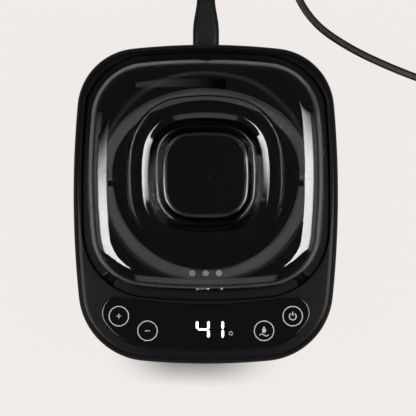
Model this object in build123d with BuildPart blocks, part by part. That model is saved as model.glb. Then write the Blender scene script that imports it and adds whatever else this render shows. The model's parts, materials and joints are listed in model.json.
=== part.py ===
from build123d import *
import os
from math import acos, cos, dist, hypot, pi, radians, sin, sqrt, tan

os.makedirs("parts", exist_ok=True)

# A wax warmer. The origin is on the table under the middle of the housing, +Y is the back, where
# the lead plugs in, and -Y is the front, where the control panel is. Lengths are in millimetres.

# Housing, seen from above: a rounded square, longer in front of its widest line for the panel
deck_side = 5.0
deck_back = 5.8
control_depth = 42.4
body_middle_y = 15.0
body_bows = (480.0, 350.0, 350.0)
body_corners = (42.0, 46.0)
body_top = 97.0
body_bottom = 3.5
body_lean = 4.0
shell_wall = 2.8
shell_ledge = 2.0
deck_ledge = 4.0
cut_over = 1.0
deck_rim = 2.0
edge_round = 5.5
foot_edge_round = 6.0
fit_gap = 0.2

# Deck: the sunk seat round the lid and the mouth of the well
well_y = 18.3
deck_plate = 2.5
seat_depth = 3.5
seat_border = 4.6
mouth_gap = 2.8
collar_wall = 2.2
ledge_top = 80.7

# Lid
lid_side_margin = 5.9
lid_end_margin = 4.8
lid_bows = (400.0, 400.0, 400.0)
lid_corners = (39.0, 39.0)
lid_height = 42.2
lid_wall = 1.8
lid_lean = 5.0
lid_shoulder = 13.0
lid_seat_gap = 0.3
crease_half_width = 48.4
crease_bow = 118.0
crease_corner = 36.0
trough_half_width = 36.0
trough_depth = 9.5
trough_floor_lean = 0.2
trough_overshoot = 1.0
roll_start = 10.0
roll_end = 75.0
roll_steps = 4
grip_edge = 1.0
grip_half_width = 26.5
grip_bow = 120.0
grip_corner_round = 16.0
grip_lean = 4.3
grip_sink = 1.5
vent_diameter = 4.0
vent_pitch = 8.4
vent_inset = 15.3
vent_count = 3

# Pot and its two folding handles
pot_inner_radius = 57.9
pot_wall = 1.3
pot_depth = 57.0
pot_corner = 8.0
pot_flange_width = 9.2
pot_flange_thickness = 1.2
seal_thickness = 1.3
seal_inset = 4.4
seal_width = 5.0
handle_overhang = 0.8
handle_width = 7.4
handle_thickness = 3.6
handle_bevel = 1.2
handle_face_drop = 0.2
handle_raise = 41.5
hinge_height = 4.2
hinge_pin_diameter = 2.5
hinge_play = 0.06
eye_radius = 2.4
eye_gap = 0.4
eye_front_width = 3.2
eye_rear_width = 2.8
hinge_clear = 6.5
arm_thickness = 2.6
arm_overlap = 1.0
bracket_base = 1.0
bracket_half_length = 3.6
cheek_inner_width = 2.1
cheek_outer_width = 1.6
cheek_round = 3.2
pin_head_radius = 2.3
pin_head = 0.7

# Heater well, heater and shield
well_gap = 1.0
well_wall = 1.4
well_floor = 1.6
pot_under_gap = 0.4
well_corner = 8.5
heater_band_thickness = 1.8
heater_band_low = 32.0
heater_band_high = 66.0
heater_band_gap_angle = 14.0
clamp_width = 8.0
clamp_thickness = 0.6
shield_gap = 3.8
shield_wall = 0.6
shield_floor = 13.0
shield_corner = 6.0
shield_hole_diameter = 9.0
shield_hole_inset = 23.4
shield_holes = 8
well_boss_diameter = 7.0
well_screws_around = 4
sensor_x = 12.0
sensor_diameter = 6.0
sensor_height = 6.0
fuse_diameter = 4.0
fuse_length = 12.0

# Screws
screw_diameter = 3.0
screw_head_diameter = 5.6
screw_head = 2.0
screw_play = 0.15
base_screw_length = 12.0
board_screw_length = 5.0
well_screw_length = 6.0

# Control panel, its board and display
panel_border = 9.3
panel_arc_radius = 292.0
panel_arc_gap = 7.3
panel_end_round = 11.0
panel_thickness = 1.2
panel_gap = 0.15
key_outer_x = 57.0
key_outer_reach = 32.1
key_inner_x = 38.2
key_inner_reach = 22.5
display_reach = 23.4
display_width = 30.0
display_length = 16.0
board_thickness = 1.6
control_board_margin = 3.0
control_board_drop = 7.5
board_boss_outer_x = 46.0
board_boss_outer_reach = 35.0
board_boss_inner_x = 24.0
board_boss_inner_reach = 17.5
touch_pad_diameter = 10.0
ribbon_x = 30.0
ribbon_reach = 32.5
ribbon_width = 12.0
ribbon_thickness = 1.0
plug_block = 5.0
plug_block_wall = 1.0
board_boss_diameter = 6.0

# Base
base_thickness = 2.5
base_recess = 1.0
foot_diameter = 15.0
foot_sink = 1.2
foot_chamfer = 1.0
foot_side_inset = 29.5
foot_back_inset = 37.5
foot_front_inset = 39.5
post_diameter = 8.0
post_rear_gap = 2.5
post_rear_angle = 47.0
post_front_gap = 13.2
post_front_angle = -46.8
vent_slot_length = 26.0
vent_slot_width = 3.2
vent_slot_pitch = 8.0
vent_slots = 7

# Power board and what stands on it
power_board_length = 84.0
power_board_width = 38.0
power_board_reach = 31.5
power_board_rise = 6.0
power_boss_inset = 4.0
transformer_x = -22.0
transformer_off = -3.0
transformer_length = 24.0
transformer_width = 20.0
transformer_height = 18.0
transformer_round = 2.0
relay_x = 6.0
relay_off = -12.0
relay_length = 18.0
relay_width = 10.0
relay_height = 15.0
film_capacitor_x = 26.0
film_capacitor_off = -11.0
film_capacitor_length = 14.0
film_capacitor_width = 6.0
film_capacitor_height = 12.0
round_capacitor_x = 20.0
round_capacitor_off = 12.0
round_capacitor_diameter = 9.0
round_capacitor_height = 14.0
board_fuse_x = 4.0
board_fuse_off = 0.5
board_fuse_diameter = 5.2
board_fuse_length = 20.0
terminal_length = 20.0
terminal_width = 9.0
terminal_height = 10.0
terminal_off = 13.5
wire_diameter = 1.8
wire_floor = 3.0
wire_rise_off = 22.5
wire_sides = 6
wire_entry = 4.4
mains_pole = 7.5
heater_pole = 2.5
band_wire_x = 11.0
ribbon_bow = 6.0

# Inlet at the back and the lead that plugs into it
inlet_height = 24.0
inlet_width = 24.0
inlet_tall = 15.0
inlet_flange = 2.5
inlet_flange_gap = 1.0
inlet_wire_inset = 4.9
inlet_corner = 2.5
inlet_proud = 0.6
inlet_length = 14.4
inlet_recess_depth = 11.6
inlet_pin_diameter = 2.4
inlet_pin_pitch = 8.6
inlet_pin_length = 9.0
nose_width = 17.4
nose_tall = 8.8
nose_length = 11.0
nose_gap = 0.35
nose_end_gap = 0.6
connector_gap = 0.4
nose_pin_gap = 0.1
grip_length = 41.0
grip_wide = 18.6
grip_narrow = 12.6
grip_tall = 11.0
grip_low = 8.6
grip_corner = 4.0
grip_straight = 0.45
relief_length = 22.0
relief_radius = 4.2
relief_end_radius = 2.9
relief_ribs = 6
relief_slot = 1.2
relief_core_radius = 2.6
cord_diameter = 4.2
cord_sides = 8
cord_bend_share = 0.45

# The coil of the length that is put away, and the plug beside it
coil_x = 200.4
coil_y = 122.0
coil_outer_radius = 37.6
coil_pitch = 5.6
coil_half_turns = 6
coil_samples = 700
plug_length = 27.0
plug_wide = 24.0
plug_narrow = 15.0
plug_tall = 14.0
plug_low = 12.0
plug_corner = 3.5
plug_taper = 0.55
plug_relief_length = 20.0
blade_pitch = 12.7
blade_wide = 6.3
blade_thick = 1.5
blade_length = 16.0
blade_in_plug = 6.0
coil_start_angle = -100.0
coil_approach = 22.0

# The lead's way over the table: from the strain relief down to the floor, round in one loose
# loop behind the housing, and off to the right to the coil. Each point is across, back, up.
lead_floor = cord_diameter / 2
lead_route = [
    (0.0, 184.0, inlet_height),
    (0.0, 203.6, 15.0),
    (13.6, 219.8, 5.5),
    (34.4, 223.4, lead_floor),
    (52.7, 212.9, lead_floor),
    (59.5, 193.5, lead_floor),
    (60.6, 166.0, lead_floor),
    (76.3, 134.5, lead_floor),
    (105.0, 115.0, lead_floor),
    (140.0, 100.5, lead_floor),
]

# Radii that follow from the sizes above, from the pot outwards to the housing
pot_outer_radius = pot_inner_radius + pot_wall
pot_flange_radius = pot_outer_radius + pot_flange_width
well_inner_radius = pot_outer_radius + well_gap
well_outer_radius = well_inner_radius + well_wall
seal_inner_radius = well_inner_radius + seal_inset
seal_outer_radius = seal_inner_radius + seal_width
handle_outer_radius = pot_flange_radius + handle_overhang
handle_inner_radius = handle_outer_radius - handle_width
cheek_inner_to = handle_inner_radius - fit_gap
cheek_inner_from = cheek_inner_to - cheek_inner_width
eye_rear_from = cheek_inner_to + eye_gap
eye_rear_to = eye_rear_from + eye_rear_width
eye_front_from = eye_rear_to + eye_gap
eye_front_to = eye_front_from + eye_front_width
cheek_outer_from = eye_front_to + eye_gap
cheek_outer_to = cheek_outer_from + cheek_outer_width
mouth_radius = handle_outer_radius + mouth_gap
collar_outer_radius = mouth_radius + collar_wall
well_screw_circle = mouth_radius + well_boss_diameter / 2
well_flange_radius = mouth_radius + well_boss_diameter
shield_radius = well_outer_radius + shield_gap
shield_hole_circle = shield_radius - shield_hole_inset
lid_half_width = mouth_radius + lid_side_margin
lid_half_length = mouth_radius + lid_end_margin
body_half_width = lid_half_width + seat_border + deck_side
back_y = well_y + lid_half_length + seat_border + deck_back
front_y = well_y - lid_half_length - seat_border - control_depth
body_back = back_y - body_middle_y
body_front = body_middle_y - front_y

# Heights that follow from the sizes above
deck_under = body_top - seat_depth - deck_plate
seat_height = body_top - seat_depth
lid_rim = seat_height + lid_seat_gap
lid_top = seat_height + lid_height
seal_top = ledge_top + seal_thickness
flange_under = seal_top + fit_gap
flange_top = flange_under + pot_flange_thickness
hinge_z = flange_top + hinge_height
pot_floor_under = flange_top - pot_depth - pot_wall
well_floor_top = pot_floor_under - pot_under_gap
well_under = well_floor_top - well_floor
well_flange_under = ledge_top - well_wall
coil_rise = plug_tall / 2 - lead_floor
coil_inner_radius = coil_outer_radius - coil_half_turns * coil_pitch / 2


def quarter_joins(half_width, reach, side_bow, end_bow, corner):
    """Where a side arc, a corner arc and an end arc meet, and the middle of the corner arc."""
    side_x, end_y = half_width - side_bow, reach - end_bow
    between = hypot(side_x, end_y)
    side_reach, end_reach = side_bow - corner, end_bow - corner
    along = (between ** 2 + side_reach ** 2 - end_reach ** 2) / (2 * between)
    off = sqrt(side_reach ** 2 - along ** 2)
    unit_x, unit_y = -side_x / between, end_y / between
    corner_x = side_x + unit_x * along - unit_y * off
    corner_y = unit_y * along + unit_x * off
    side_join = (side_x + (corner_x - side_x) * side_bow / side_reach, corner_y * side_bow / side_reach)
    end_join = (corner_x * end_bow / end_reach, end_y + (corner_y - end_y) * end_bow / end_reach)
    middle_x = (side_join[0] + end_join[0]) / 2 - corner_x
    middle_y = (side_join[1] + end_join[1]) / 2 - corner_y
    outward = corner / hypot(middle_x, middle_y)
    return side_join, (corner_x + middle_x * outward, corner_y + middle_y * outward), end_join


def rounded_square(height, inset, half_width, back, front, middle_y, bows, corners):
    """A flat face inside eight tangent arcs: two sides, two ends and four corners.

    bows are the radii of the sides, the back and the front, corners those at the back and front.
    """
    side_bow, back_bow, front_bow = (bow - inset for bow in bows)
    back_corner, front_corner = (corner - inset for corner in corners)
    rear = quarter_joins(half_width - inset, back - inset, side_bow, back_bow, back_corner)
    fore = quarter_joins(half_width - inset, front - inset, side_bow, front_bow, front_corner)

    def place(point, sx, sy):
        return (sx * point[0], middle_y + sy * point[1])

    with BuildSketch(Plane.XY.offset(height)) as face:
        with BuildLine():
            for sx in (1, -1):
                ThreePointArc(place(fore[0], sx, -1), (sx * (half_width - inset), middle_y),
                              place(rear[0], sx, 1))
                for sy, quarter in ((1, rear), (-1, fore)):
                    ThreePointArc(*[place(point, sx, sy) for point in quarter])
            for sy, quarter, reach in ((1, rear, back), (-1, fore, front)):
                ThreePointArc(place(quarter[2], 1, sy), (0, middle_y + sy * (reach - inset)),
                              place(quarter[2], -1, sy))
        make_face()
    return face.sketch


def body_section(height, inset):
    """The housing's outline at a height, drawn in from its widest outline."""
    lean = body_lean * max(0, body_top - height) / (body_top - body_bottom)
    return rounded_square(height, inset + lean, body_half_width, body_back, body_front,
                          body_middle_y, body_bows, body_corners)


def lid_section(height, inset):
    """The lid's outline at a height, drawn in from its rim and leaning in towards the top."""
    lean = lid_lean * (height - lid_rim) / (lid_top - lid_rim)
    return rounded_square(height, inset + lean, lid_half_width, lid_half_length, lid_half_length,
                          well_y, lid_bows, lid_corners)


def ring_section(height, inset, half_width, bow, corner):
    """A rounded square with four like sides round the lid's middle."""
    return rounded_square(height, inset, half_width, half_width, half_width, well_y,
                          (bow, bow, bow), (corner, corner))


def seat_section(height, grow):
    """The outline of the sunk seat round the lid."""
    return rounded_square(height, -seat_border - grow, lid_half_width, lid_half_length,
                          lid_half_length, well_y, lid_bows, lid_corners)


def panel_section(height, grow):
    """The smile: the housing's outline drawn in, cut off by an arc that follows the lid's seat."""
    arc_y = well_y - lid_half_length - panel_arc_gap + panel_arc_radius
    with BuildSketch(Plane.XY.offset(height)) as smile:
        add(rounded_square(0, panel_border + panel_end_round, body_half_width, body_back,
                           body_front, body_middle_y, body_bows, body_corners))
        with Locations((0, arc_y)):
            Circle(panel_arc_radius + panel_end_round, mode=Mode.SUBTRACT)
        offset(amount=panel_end_round + grow)
    return smile.sketch


def save(piece, name):
    """Label a finished piece and write it."""
    piece.part.label = name
    export_step(piece.part, "parts/" + name + ".step")


# Planes and the axis that the round pieces of the well are turned about
turn_plane = Plane(origin=(0, well_y, 0), x_dir=(1, 0, 0), z_dir=(0, -1, 0))
turn_axis = Axis((0, well_y, 0), (0, 0, 1))
hinge_axis = Axis((0, well_y, hinge_z), (1, 0, 0))
across_plane = Plane.YZ


def inlet_plane(y):
    """A plane across the inlet's axis, facing backwards."""
    return Plane(origin=(0, y, inlet_height), x_dir=(1, 0, 0), z_dir=(0, 1, 0))


def cup_profile(inner_radius, wall, floor_top, floor, rim_under, rim_top, rim_radius, corner):
    """Half section of a round cup with a flat rim."""
    outer_radius = inner_radius + wall
    with BuildSketch(turn_plane) as half:
        with BuildLine():
            Polyline((0, floor_top - floor), (outer_radius, floor_top - floor),
                     (outer_radius, rim_under), (rim_radius, rim_under), (rim_radius, rim_top),
                     (inner_radius, rim_top), (inner_radius, floor_top), (0, floor_top), close=True)
        make_face()
        fillet(half.vertices().sort_by_distance((outer_radius, floor_top - floor))[0], corner + wall)
        fillet(half.vertices().sort_by_distance((inner_radius, floor_top))[0], corner)
    return half.sketch


def ring(height, inner_radius, outer_radius):
    """A flat ring round the well's axis."""
    with BuildSketch(Plane.XY.offset(height)) as flat:
        with Locations((0, well_y)):
            Circle(outer_radius)
            Circle(inner_radius, mode=Mode.SUBTRACT)
    return flat.sketch


def discs(height, places, diameter):
    """Equal discs at the given places."""
    with BuildSketch(Plane.XY.offset(height)) as flat:
        with Locations(*places):
            Circle(diameter / 2)
    return flat.sketch


def block(middle_x, middle_y, height, length, width):
    """A rectangle lying flat, for a part that stands on a board."""
    with BuildSketch(Plane.XY.offset(height)) as flat:
        with Locations((middle_x, middle_y)):
            Rectangle(length, width)
    return flat.sketch


def screws(head_under, places, shank, turned=False):
    """Round-head screws; turned ones point down, the others up."""
    way = -1 if turned else 1
    with BuildPart() as group:
        extrude(discs(head_under, places, screw_head_diameter), amount=screw_head * way)
        extrude(discs(head_under + screw_head * way, places, screw_diameter), amount=shank * way)
    return group


post_places = []
for gap, turn in ((post_rear_gap, radians(post_rear_angle)), (post_front_gap, radians(post_front_angle))):
    reach = well_flange_radius + gap + post_diameter / 2
    post_places += [(sx * reach * cos(turn), well_y + reach * sin(turn)) for sx in (-1, 1)]
foot_places = [(sx * (body_half_width - foot_side_inset), y) for sx in (-1, 1)
               for y in (front_y + foot_front_inset, back_y - foot_back_inset)]
key_places = [(-key_outer_x, front_y + key_outer_reach), (-key_inner_x, front_y + key_inner_reach),
              (key_inner_x, front_y + key_inner_reach), (key_outer_x, front_y + key_outer_reach)]
display_y = front_y + display_reach
ribbon_y = front_y + ribbon_reach
power_board_y = front_y + power_board_reach
wire_rise_y = power_board_y + wire_rise_off
well_screw_places = []
for index in range(well_screws_around):
    turn = 2 * pi * (index + 0.5) / well_screws_around
    well_screw_places.append((well_screw_circle * cos(turn), well_y + well_screw_circle * sin(turn)))
board_boss_places = [(sx * x, front_y + reach) for sx in (-1, 1)
                     for x, reach in ((board_boss_outer_x, board_boss_outer_reach),
                                      (board_boss_inner_x, board_boss_inner_reach))]
power_boss_places = [(sx * (power_board_length / 2 - power_boss_inset),
                      power_board_y + sy * (power_board_width / 2 - power_boss_inset))
                     for sx in (-1, 1) for sy in (-1, 1)]
recess_floor = body_top - panel_thickness
plate_under = body_top - deck_plate
board_top = plate_under - control_board_drop
base_under = body_bottom + base_recess
base_top = base_under + base_thickness
wall_inset = shell_wall + fit_gap
power_board_under = base_top + power_board_rise
power_board_top = power_board_under + board_thickness

# The outside of the closed housing, which the shell, the deck and the base are cut from
with BuildPart() as body_form:
    loft([body_section(body_bottom, 0), body_section(body_top, 0)], ruled=True)
    fillet(body_form.edges().group_by(Axis.Z)[-1], edge_round)
    fillet(body_form.edges().group_by(Axis.Z)[0], foot_edge_round)


def inside_form(low, high, inset):
    """The part of the housing's form inside its wall, between two heights."""
    with BuildPart() as inner:
        add(body_form.part)
        loft([body_section(low, inset), body_section(high, inset)], ruled=True, mode=Mode.INTERSECT)
    return inner.part


# Housing shell: the side wall, with a ledge for the deck and one for the base plate
inlet_lean = body_lean * (body_top - inlet_height) / (body_top - body_bottom)
inlet_wall_y = back_y - inlet_lean
inlet_face = inlet_wall_y + inlet_proud
with BuildPart() as housing_shell:
    add(body_form.part)
    for low, high, inset in ((body_bottom - cut_over, body_top + cut_over, shell_wall + deck_ledge),
                             (body_bottom - cut_over, deck_under - shell_ledge, shell_wall + shell_ledge),
                             (body_bottom - cut_over, base_top, shell_wall),
                             (base_top + shell_ledge, deck_under - shell_ledge, shell_wall),
                             (deck_under, body_top + cut_over, shell_wall)):
        loft([body_section(low, inset), body_section(high, inset)], ruled=True, mode=Mode.SUBTRACT)
    with BuildSketch(inlet_plane(inlet_wall_y - 3 * shell_wall)):
        RectangleRounded(inlet_width + 2 * fit_gap, inlet_tall + 2 * fit_gap, inlet_corner)
    extrude(amount=5 * shell_wall, mode=Mode.SUBTRACT)
save(housing_shell, "housing_shell")

# Top deck: the glossy frame round the lid's seat, with the panel's recess, the display's window and
# the bosses of the control board
with BuildPart() as top_deck:
    add(inside_form(deck_under, body_top + cut_over, wall_inset))
    extrude(seat_section(deck_under, 0), amount=2 * (body_top - deck_under), mode=Mode.SUBTRACT)
    extrude(panel_section(recess_floor, panel_gap), amount=2 * panel_thickness, mode=Mode.SUBTRACT)
    with BuildSketch(Plane.XY.offset(deck_under)):
        add(body_section(body_top, wall_inset + deck_rim))
        add(seat_section(deck_under, deck_plate), mode=Mode.SUBTRACT)
    extrude(amount=plate_under - deck_under, mode=Mode.SUBTRACT)
    extrude(discs(board_top, board_boss_places, board_boss_diameter), amount=control_board_drop)
    extrude(discs(board_top, board_boss_places, screw_diameter + 2 * screw_play),
            amount=board_screw_length, mode=Mode.SUBTRACT)
    extrude(block(0, display_y, plate_under - cut_over, display_width + 2 * fit_gap,
                  display_length + 2 * fit_gap), amount=2 * deck_plate, mode=Mode.SUBTRACT)
save(top_deck, "top_deck")

# Seat ring: the sunk plate that the lid stands on and the collar of the well's mouth. It lies on
# the shell's ledge, the base screws pull on its posts, and the well hangs from its collar.
with BuildPart() as seat_ring:
    extrude(seat_section(deck_under, -fit_gap), amount=deck_plate)
    extrude(ring(ledge_top, mouth_radius, collar_outer_radius), amount=deck_under - ledge_top)
    extrude(discs(ledge_top, well_screw_places, well_boss_diameter), amount=deck_under - ledge_top)
    extrude(discs(ledge_top, [(0, well_y)], 2 * mouth_radius), amount=body_top, mode=Mode.SUBTRACT)
    extrude(discs(base_top, post_places, post_diameter), amount=deck_under - base_top)
    extrude(discs(base_top, post_places, screw_diameter + 2 * screw_play),
            amount=base_screw_length + screw_play, mode=Mode.SUBTRACT)
    extrude(discs(ledge_top, well_screw_places, screw_diameter + 2 * screw_play),
            amount=well_screw_length, mode=Mode.SUBTRACT)
save(seat_ring, "seat_ring")

# Base plate: closes the housing below, with vent slots, foot seats and the power board's bosses
with BuildPart() as base_plate:
    add(inside_form(base_under, base_top, wall_inset))
    extrude(discs(base_top, power_boss_places, board_boss_diameter), amount=power_board_rise)
    extrude(discs(base_under, foot_places, foot_diameter + 2 * fit_gap), amount=foot_sink,
            mode=Mode.SUBTRACT)
    extrude(discs(base_under, post_places, screw_diameter + 2 * screw_play), amount=base_thickness,
            mode=Mode.SUBTRACT)
    extrude(discs(base_top, power_boss_places, screw_diameter + 2 * screw_play),
            amount=power_board_rise, mode=Mode.SUBTRACT)
    with BuildSketch(Plane.XY.offset(base_under)):
        with Locations((0, well_y)):
            with GridLocations(1, vent_slot_pitch, 1, vent_slots):
                SlotOverall(vent_slot_length, vent_slot_width)
    extrude(amount=base_thickness, mode=Mode.SUBTRACT)
save(base_plate, "base_plate")

with BuildPart() as rubber_feet:
    extrude(discs(0, foot_places, foot_diameter), amount=base_under + foot_sink)
    chamfer(rubber_feet.edges().group_by(Axis.Z)[0], foot_chamfer)
save(rubber_feet, "rubber_feet")

save(screws(base_under - screw_head, post_places, base_thickness + base_screw_length), "base_screws")

# Control panel: the seamless overlay that covers keys and display
with BuildPart() as control_panel:
    extrude(panel_section(recess_floor, 0), amount=panel_thickness)
save(control_panel, "control_panel")

# What stands behind the panel
with BuildPart() as control_board:
    extrude(panel_section(board_top, -control_board_margin), amount=-board_thickness)
    extrude(discs(board_top - board_thickness, board_boss_places, screw_diameter + 2 * screw_play),
            amount=board_thickness, mode=Mode.SUBTRACT)
    extrude(block(ribbon_x, ribbon_y, board_top - board_thickness, ribbon_width + 2 * plug_block_wall,
                  plug_block), amount=-plug_block)
save(control_board, "control_board")

with BuildPart() as display_module:
    extrude(block(0, display_y, board_top, display_width, display_length),
            amount=recess_floor - fit_gap - board_top)
save(display_module, "display_module")

with BuildPart() as touch_pads:
    extrude(discs(board_top, key_places, touch_pad_diameter), amount=plate_under - board_top)
save(touch_pads, "touch_pads")

save(screws(board_top - board_thickness - screw_head, board_boss_places,
            board_thickness + board_screw_length - screw_play), "control_board_screws")


# Lid: a smoked moulding with a soft shoulder, a rolled trough for the fingers and a grip in it
def lid_form(low, inset, shoulder):
    """The lid's outer form, drawn in by an inset."""
    with BuildPart() as form:
        loft([lid_section(low, inset), lid_section(lid_top - inset, inset)], ruled=True)
        fillet(form.edges().group_by(Axis.Z)[-1], shoulder)
    return form.part


def trough_form(grow):
    """The bowl that the fingers reach into, rolled down from the crease, grown by a wall."""
    start, end = radians(roll_start), radians(roll_end)
    across = (crease_half_width - trough_half_width) / (sin(end) - sin(start))
    down = trough_depth / (cos(start) - cos(end))
    steps = []
    for step in range(roll_steps + 1):
        turn = start + (end - start) * step / roll_steps
        slope = hypot(down * sin(turn), across * cos(turn))
        inward = across * (sin(turn) - sin(start)) - grow * down * sin(turn) / slope
        depth = down * (cos(start) - cos(turn)) + grow * across * cos(turn) / slope
        steps.append((depth, inward))
    if grow:
        steps[0] = (grow / 2, 0)
        steps.append((trough_depth + grow, inward + trough_floor_lean))
    steps.insert(0, (-trough_overshoot, 0))
    with BuildPart() as bowl:
        loft([ring_section(lid_top - depth, inward, crease_half_width, crease_bow, crease_corner)
              for depth, inward in steps], ruled=True)
    return bowl.part


def grip_form(low, inset, edge):
    """The grip that stands in the trough, widening towards its foot."""
    grip_top = lid_top - grip_sink
    foot_grow = grip_lean * (grip_top - low) / (grip_top - lid_top + trough_depth)
    with BuildPart() as grip:
        loft([ring_section(low, inset - foot_grow, grip_half_width, grip_bow, grip_corner_round),
              ring_section(grip_top - inset, inset, grip_half_width, grip_bow, grip_corner_round)],
             ruled=True)
        fillet(grip.edges().group_by(Axis.Z)[-1], edge)
    return grip.part


vent_places = [(vent_pitch * (index - (vent_count - 1) / 2), well_y - lid_half_length + vent_inset)
               for index in range(vent_count)]
with BuildPart() as lid_inside:
    add(lid_form(lid_rim - cut_over, lid_wall, lid_shoulder - lid_wall))
    add(trough_form(lid_wall), mode=Mode.SUBTRACT)
    add(grip_form(lid_top - trough_depth - 2 * lid_wall, lid_wall, grip_edge / 2))
with BuildPart() as lid_trough:
    add(trough_form(0))
    add(grip_form(lid_top - trough_depth - cut_over, 0, grip_edge), mode=Mode.SUBTRACT)
with BuildPart() as lid:
    add(lid_form(lid_rim, 0, lid_shoulder))
    add(lid_trough.part, mode=Mode.SUBTRACT)
    add(lid_inside.part, mode=Mode.SUBTRACT)
    extrude(discs(lid_top - 2 * lid_shoulder, vent_places, vent_diameter), amount=3 * lid_shoulder,
            mode=Mode.SUBTRACT)
save(lid, "lid")

# Heater well: the cup that the pot stands in. Its flange closes the collar below, carries the seal
# and the pot, and is screwed to the seat ring together with the heat shield's lip.
with BuildPart() as heater_well:
    add(cup_profile(well_inner_radius, well_wall, well_floor_top, well_floor, well_flange_under,
                    ledge_top, well_flange_radius, well_corner))
    revolve(axis=turn_axis)
    extrude(discs(well_flange_under, well_screw_places, screw_diameter + 2 * screw_play),
            amount=well_wall, mode=Mode.SUBTRACT)
save(heater_well, "heater_well")

shield_places = [(shield_hole_circle * cos(2 * pi * index / shield_holes),
                  well_y + shield_hole_circle * sin(2 * pi * index / shield_holes))
                 for index in range(shield_holes)]
with BuildPart() as heat_shield:
    add(cup_profile(shield_radius, shield_wall, shield_floor + shield_wall, shield_wall,
                    well_flange_under - shield_wall, well_flange_under, well_flange_radius,
                    shield_corner))
    revolve(axis=turn_axis)
    extrude(discs(well_flange_under - shield_wall, well_screw_places, screw_diameter + 2 * screw_play),
            amount=shield_wall, mode=Mode.SUBTRACT)
    extrude(discs(shield_floor, shield_places, shield_hole_diameter), amount=shield_wall,
            mode=Mode.SUBTRACT)
save(heat_shield, "heat_shield")

save(screws(well_flange_under - shield_wall - screw_head, well_screw_places,
            shield_wall + well_wall + well_screw_length - screw_play), "well_screws")

with BuildPart() as well_seal:
    extrude(ring(ledge_top, seal_inner_radius, seal_outer_radius), amount=seal_thickness)
save(well_seal, "well_seal")


def band(low, high, inner_radius, thickness, gap_angle):
    """A strip bent round the well with a gap at the front."""
    half_gap = radians(gap_angle / 2)
    reach = 2 * (inner_radius + thickness)
    with BuildPart() as strip:
        extrude(ring(low, inner_radius, inner_radius + thickness), amount=high - low)
        with BuildSketch(Plane.XY.offset(low)):
            with BuildLine():
                Polyline((0, well_y), (-reach * sin(half_gap), well_y - reach * cos(half_gap)),
                         (reach * sin(half_gap), well_y - reach * cos(half_gap)), close=True)
            make_face()
        extrude(amount=high - low, mode=Mode.SUBTRACT)
    return strip


save(band(heater_band_low, heater_band_high, well_outer_radius, heater_band_thickness,
          heater_band_gap_angle), "heater_band")
band_middle = (heater_band_low + heater_band_high) / 2
save(band(band_middle - clamp_width / 2, band_middle + clamp_width / 2,
          well_outer_radius + heater_band_thickness + fit_gap, clamp_thickness,
          heater_band_gap_angle / 2), "band_clamp")

with BuildPart() as temperature_sensor:
    extrude(discs(well_under, [(sensor_x, well_y)], sensor_diameter), amount=-sensor_height)
save(temperature_sensor, "temperature_sensor")

with BuildPart() as thermal_fuse:
    with BuildSketch(Plane(origin=(-sensor_x, well_y - fuse_length / 2, well_under - fuse_diameter / 2),
                           x_dir=(1, 0, 0), z_dir=(0, 1, 0))):
        Circle(fuse_diameter / 2)
        with Locations((0, fuse_diameter / 4)):
            Rectangle(fuse_diameter, fuse_diameter / 2)
    extrude(amount=fuse_length)
save(thermal_fuse, "thermal_fuse")

# Pot with its flange, the two brackets on it and the pins that both handles turn on
with BuildPart() as pot:
    add(cup_profile(pot_inner_radius, pot_wall, flange_top - pot_depth, pot_wall, flange_under,
                    flange_top, pot_flange_radius, pot_corner))
    revolve(axis=turn_axis)
save(pot, "pot")


def hinge_disc(radius):
    """A disc across the hinge axis."""
    with BuildSketch(across_plane) as across:
        with Locations((well_y, hinge_z)):
            Circle(radius)
    return across.sketch


def cheek_profile():
    """A bracket cheek: straight sides below, round about the pin above."""
    with BuildSketch(across_plane) as across:
        with Locations((well_y, hinge_z)):
            Circle(cheek_round)
        with Locations((well_y, (flange_top + hinge_z) / 2)):
            Rectangle(2 * cheek_round, hinge_z - flange_top)
    return across.sketch


def spread(section, start, end, mode=Mode.ADD):
    """Draw a section across the hinge axis out between two distances, on both sides."""
    for sx in (-1, 1):
        moved = section.moved(Location((sx * start, 0, 0)))
        extrude(moved, amount=sx * (end - start), mode=mode, dir=(1, 0, 0))


with BuildPart() as hinge_brackets:
    with BuildSketch(Plane.XY.offset(flange_top)):
        for sx in (-1, 1):
            with Locations((sx * (cheek_inner_from + cheek_outer_to) / 2, well_y)):
                Rectangle(cheek_outer_to - cheek_inner_from, 2 * bracket_half_length)
    extrude(amount=bracket_base)
    spread(cheek_profile(), cheek_inner_from, cheek_inner_to)
    spread(cheek_profile(), cheek_outer_from, cheek_outer_to)
    spread(hinge_disc(hinge_pin_diameter / 2), cheek_inner_from, cheek_outer_to, Mode.SUBTRACT)
save(hinge_brackets, "hinge_brackets")

with BuildPart() as hinge_pins:
    spread(hinge_disc(hinge_pin_diameter / 2), cheek_inner_from - pin_head, cheek_outer_to + pin_head)
    spread(hinge_disc(pin_head_radius), cheek_inner_from - pin_head, cheek_inner_from)
    spread(hinge_disc(pin_head_radius), cheek_outer_to, cheek_outer_to + pin_head)
save(hinge_pins, "hinge_pins")


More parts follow.
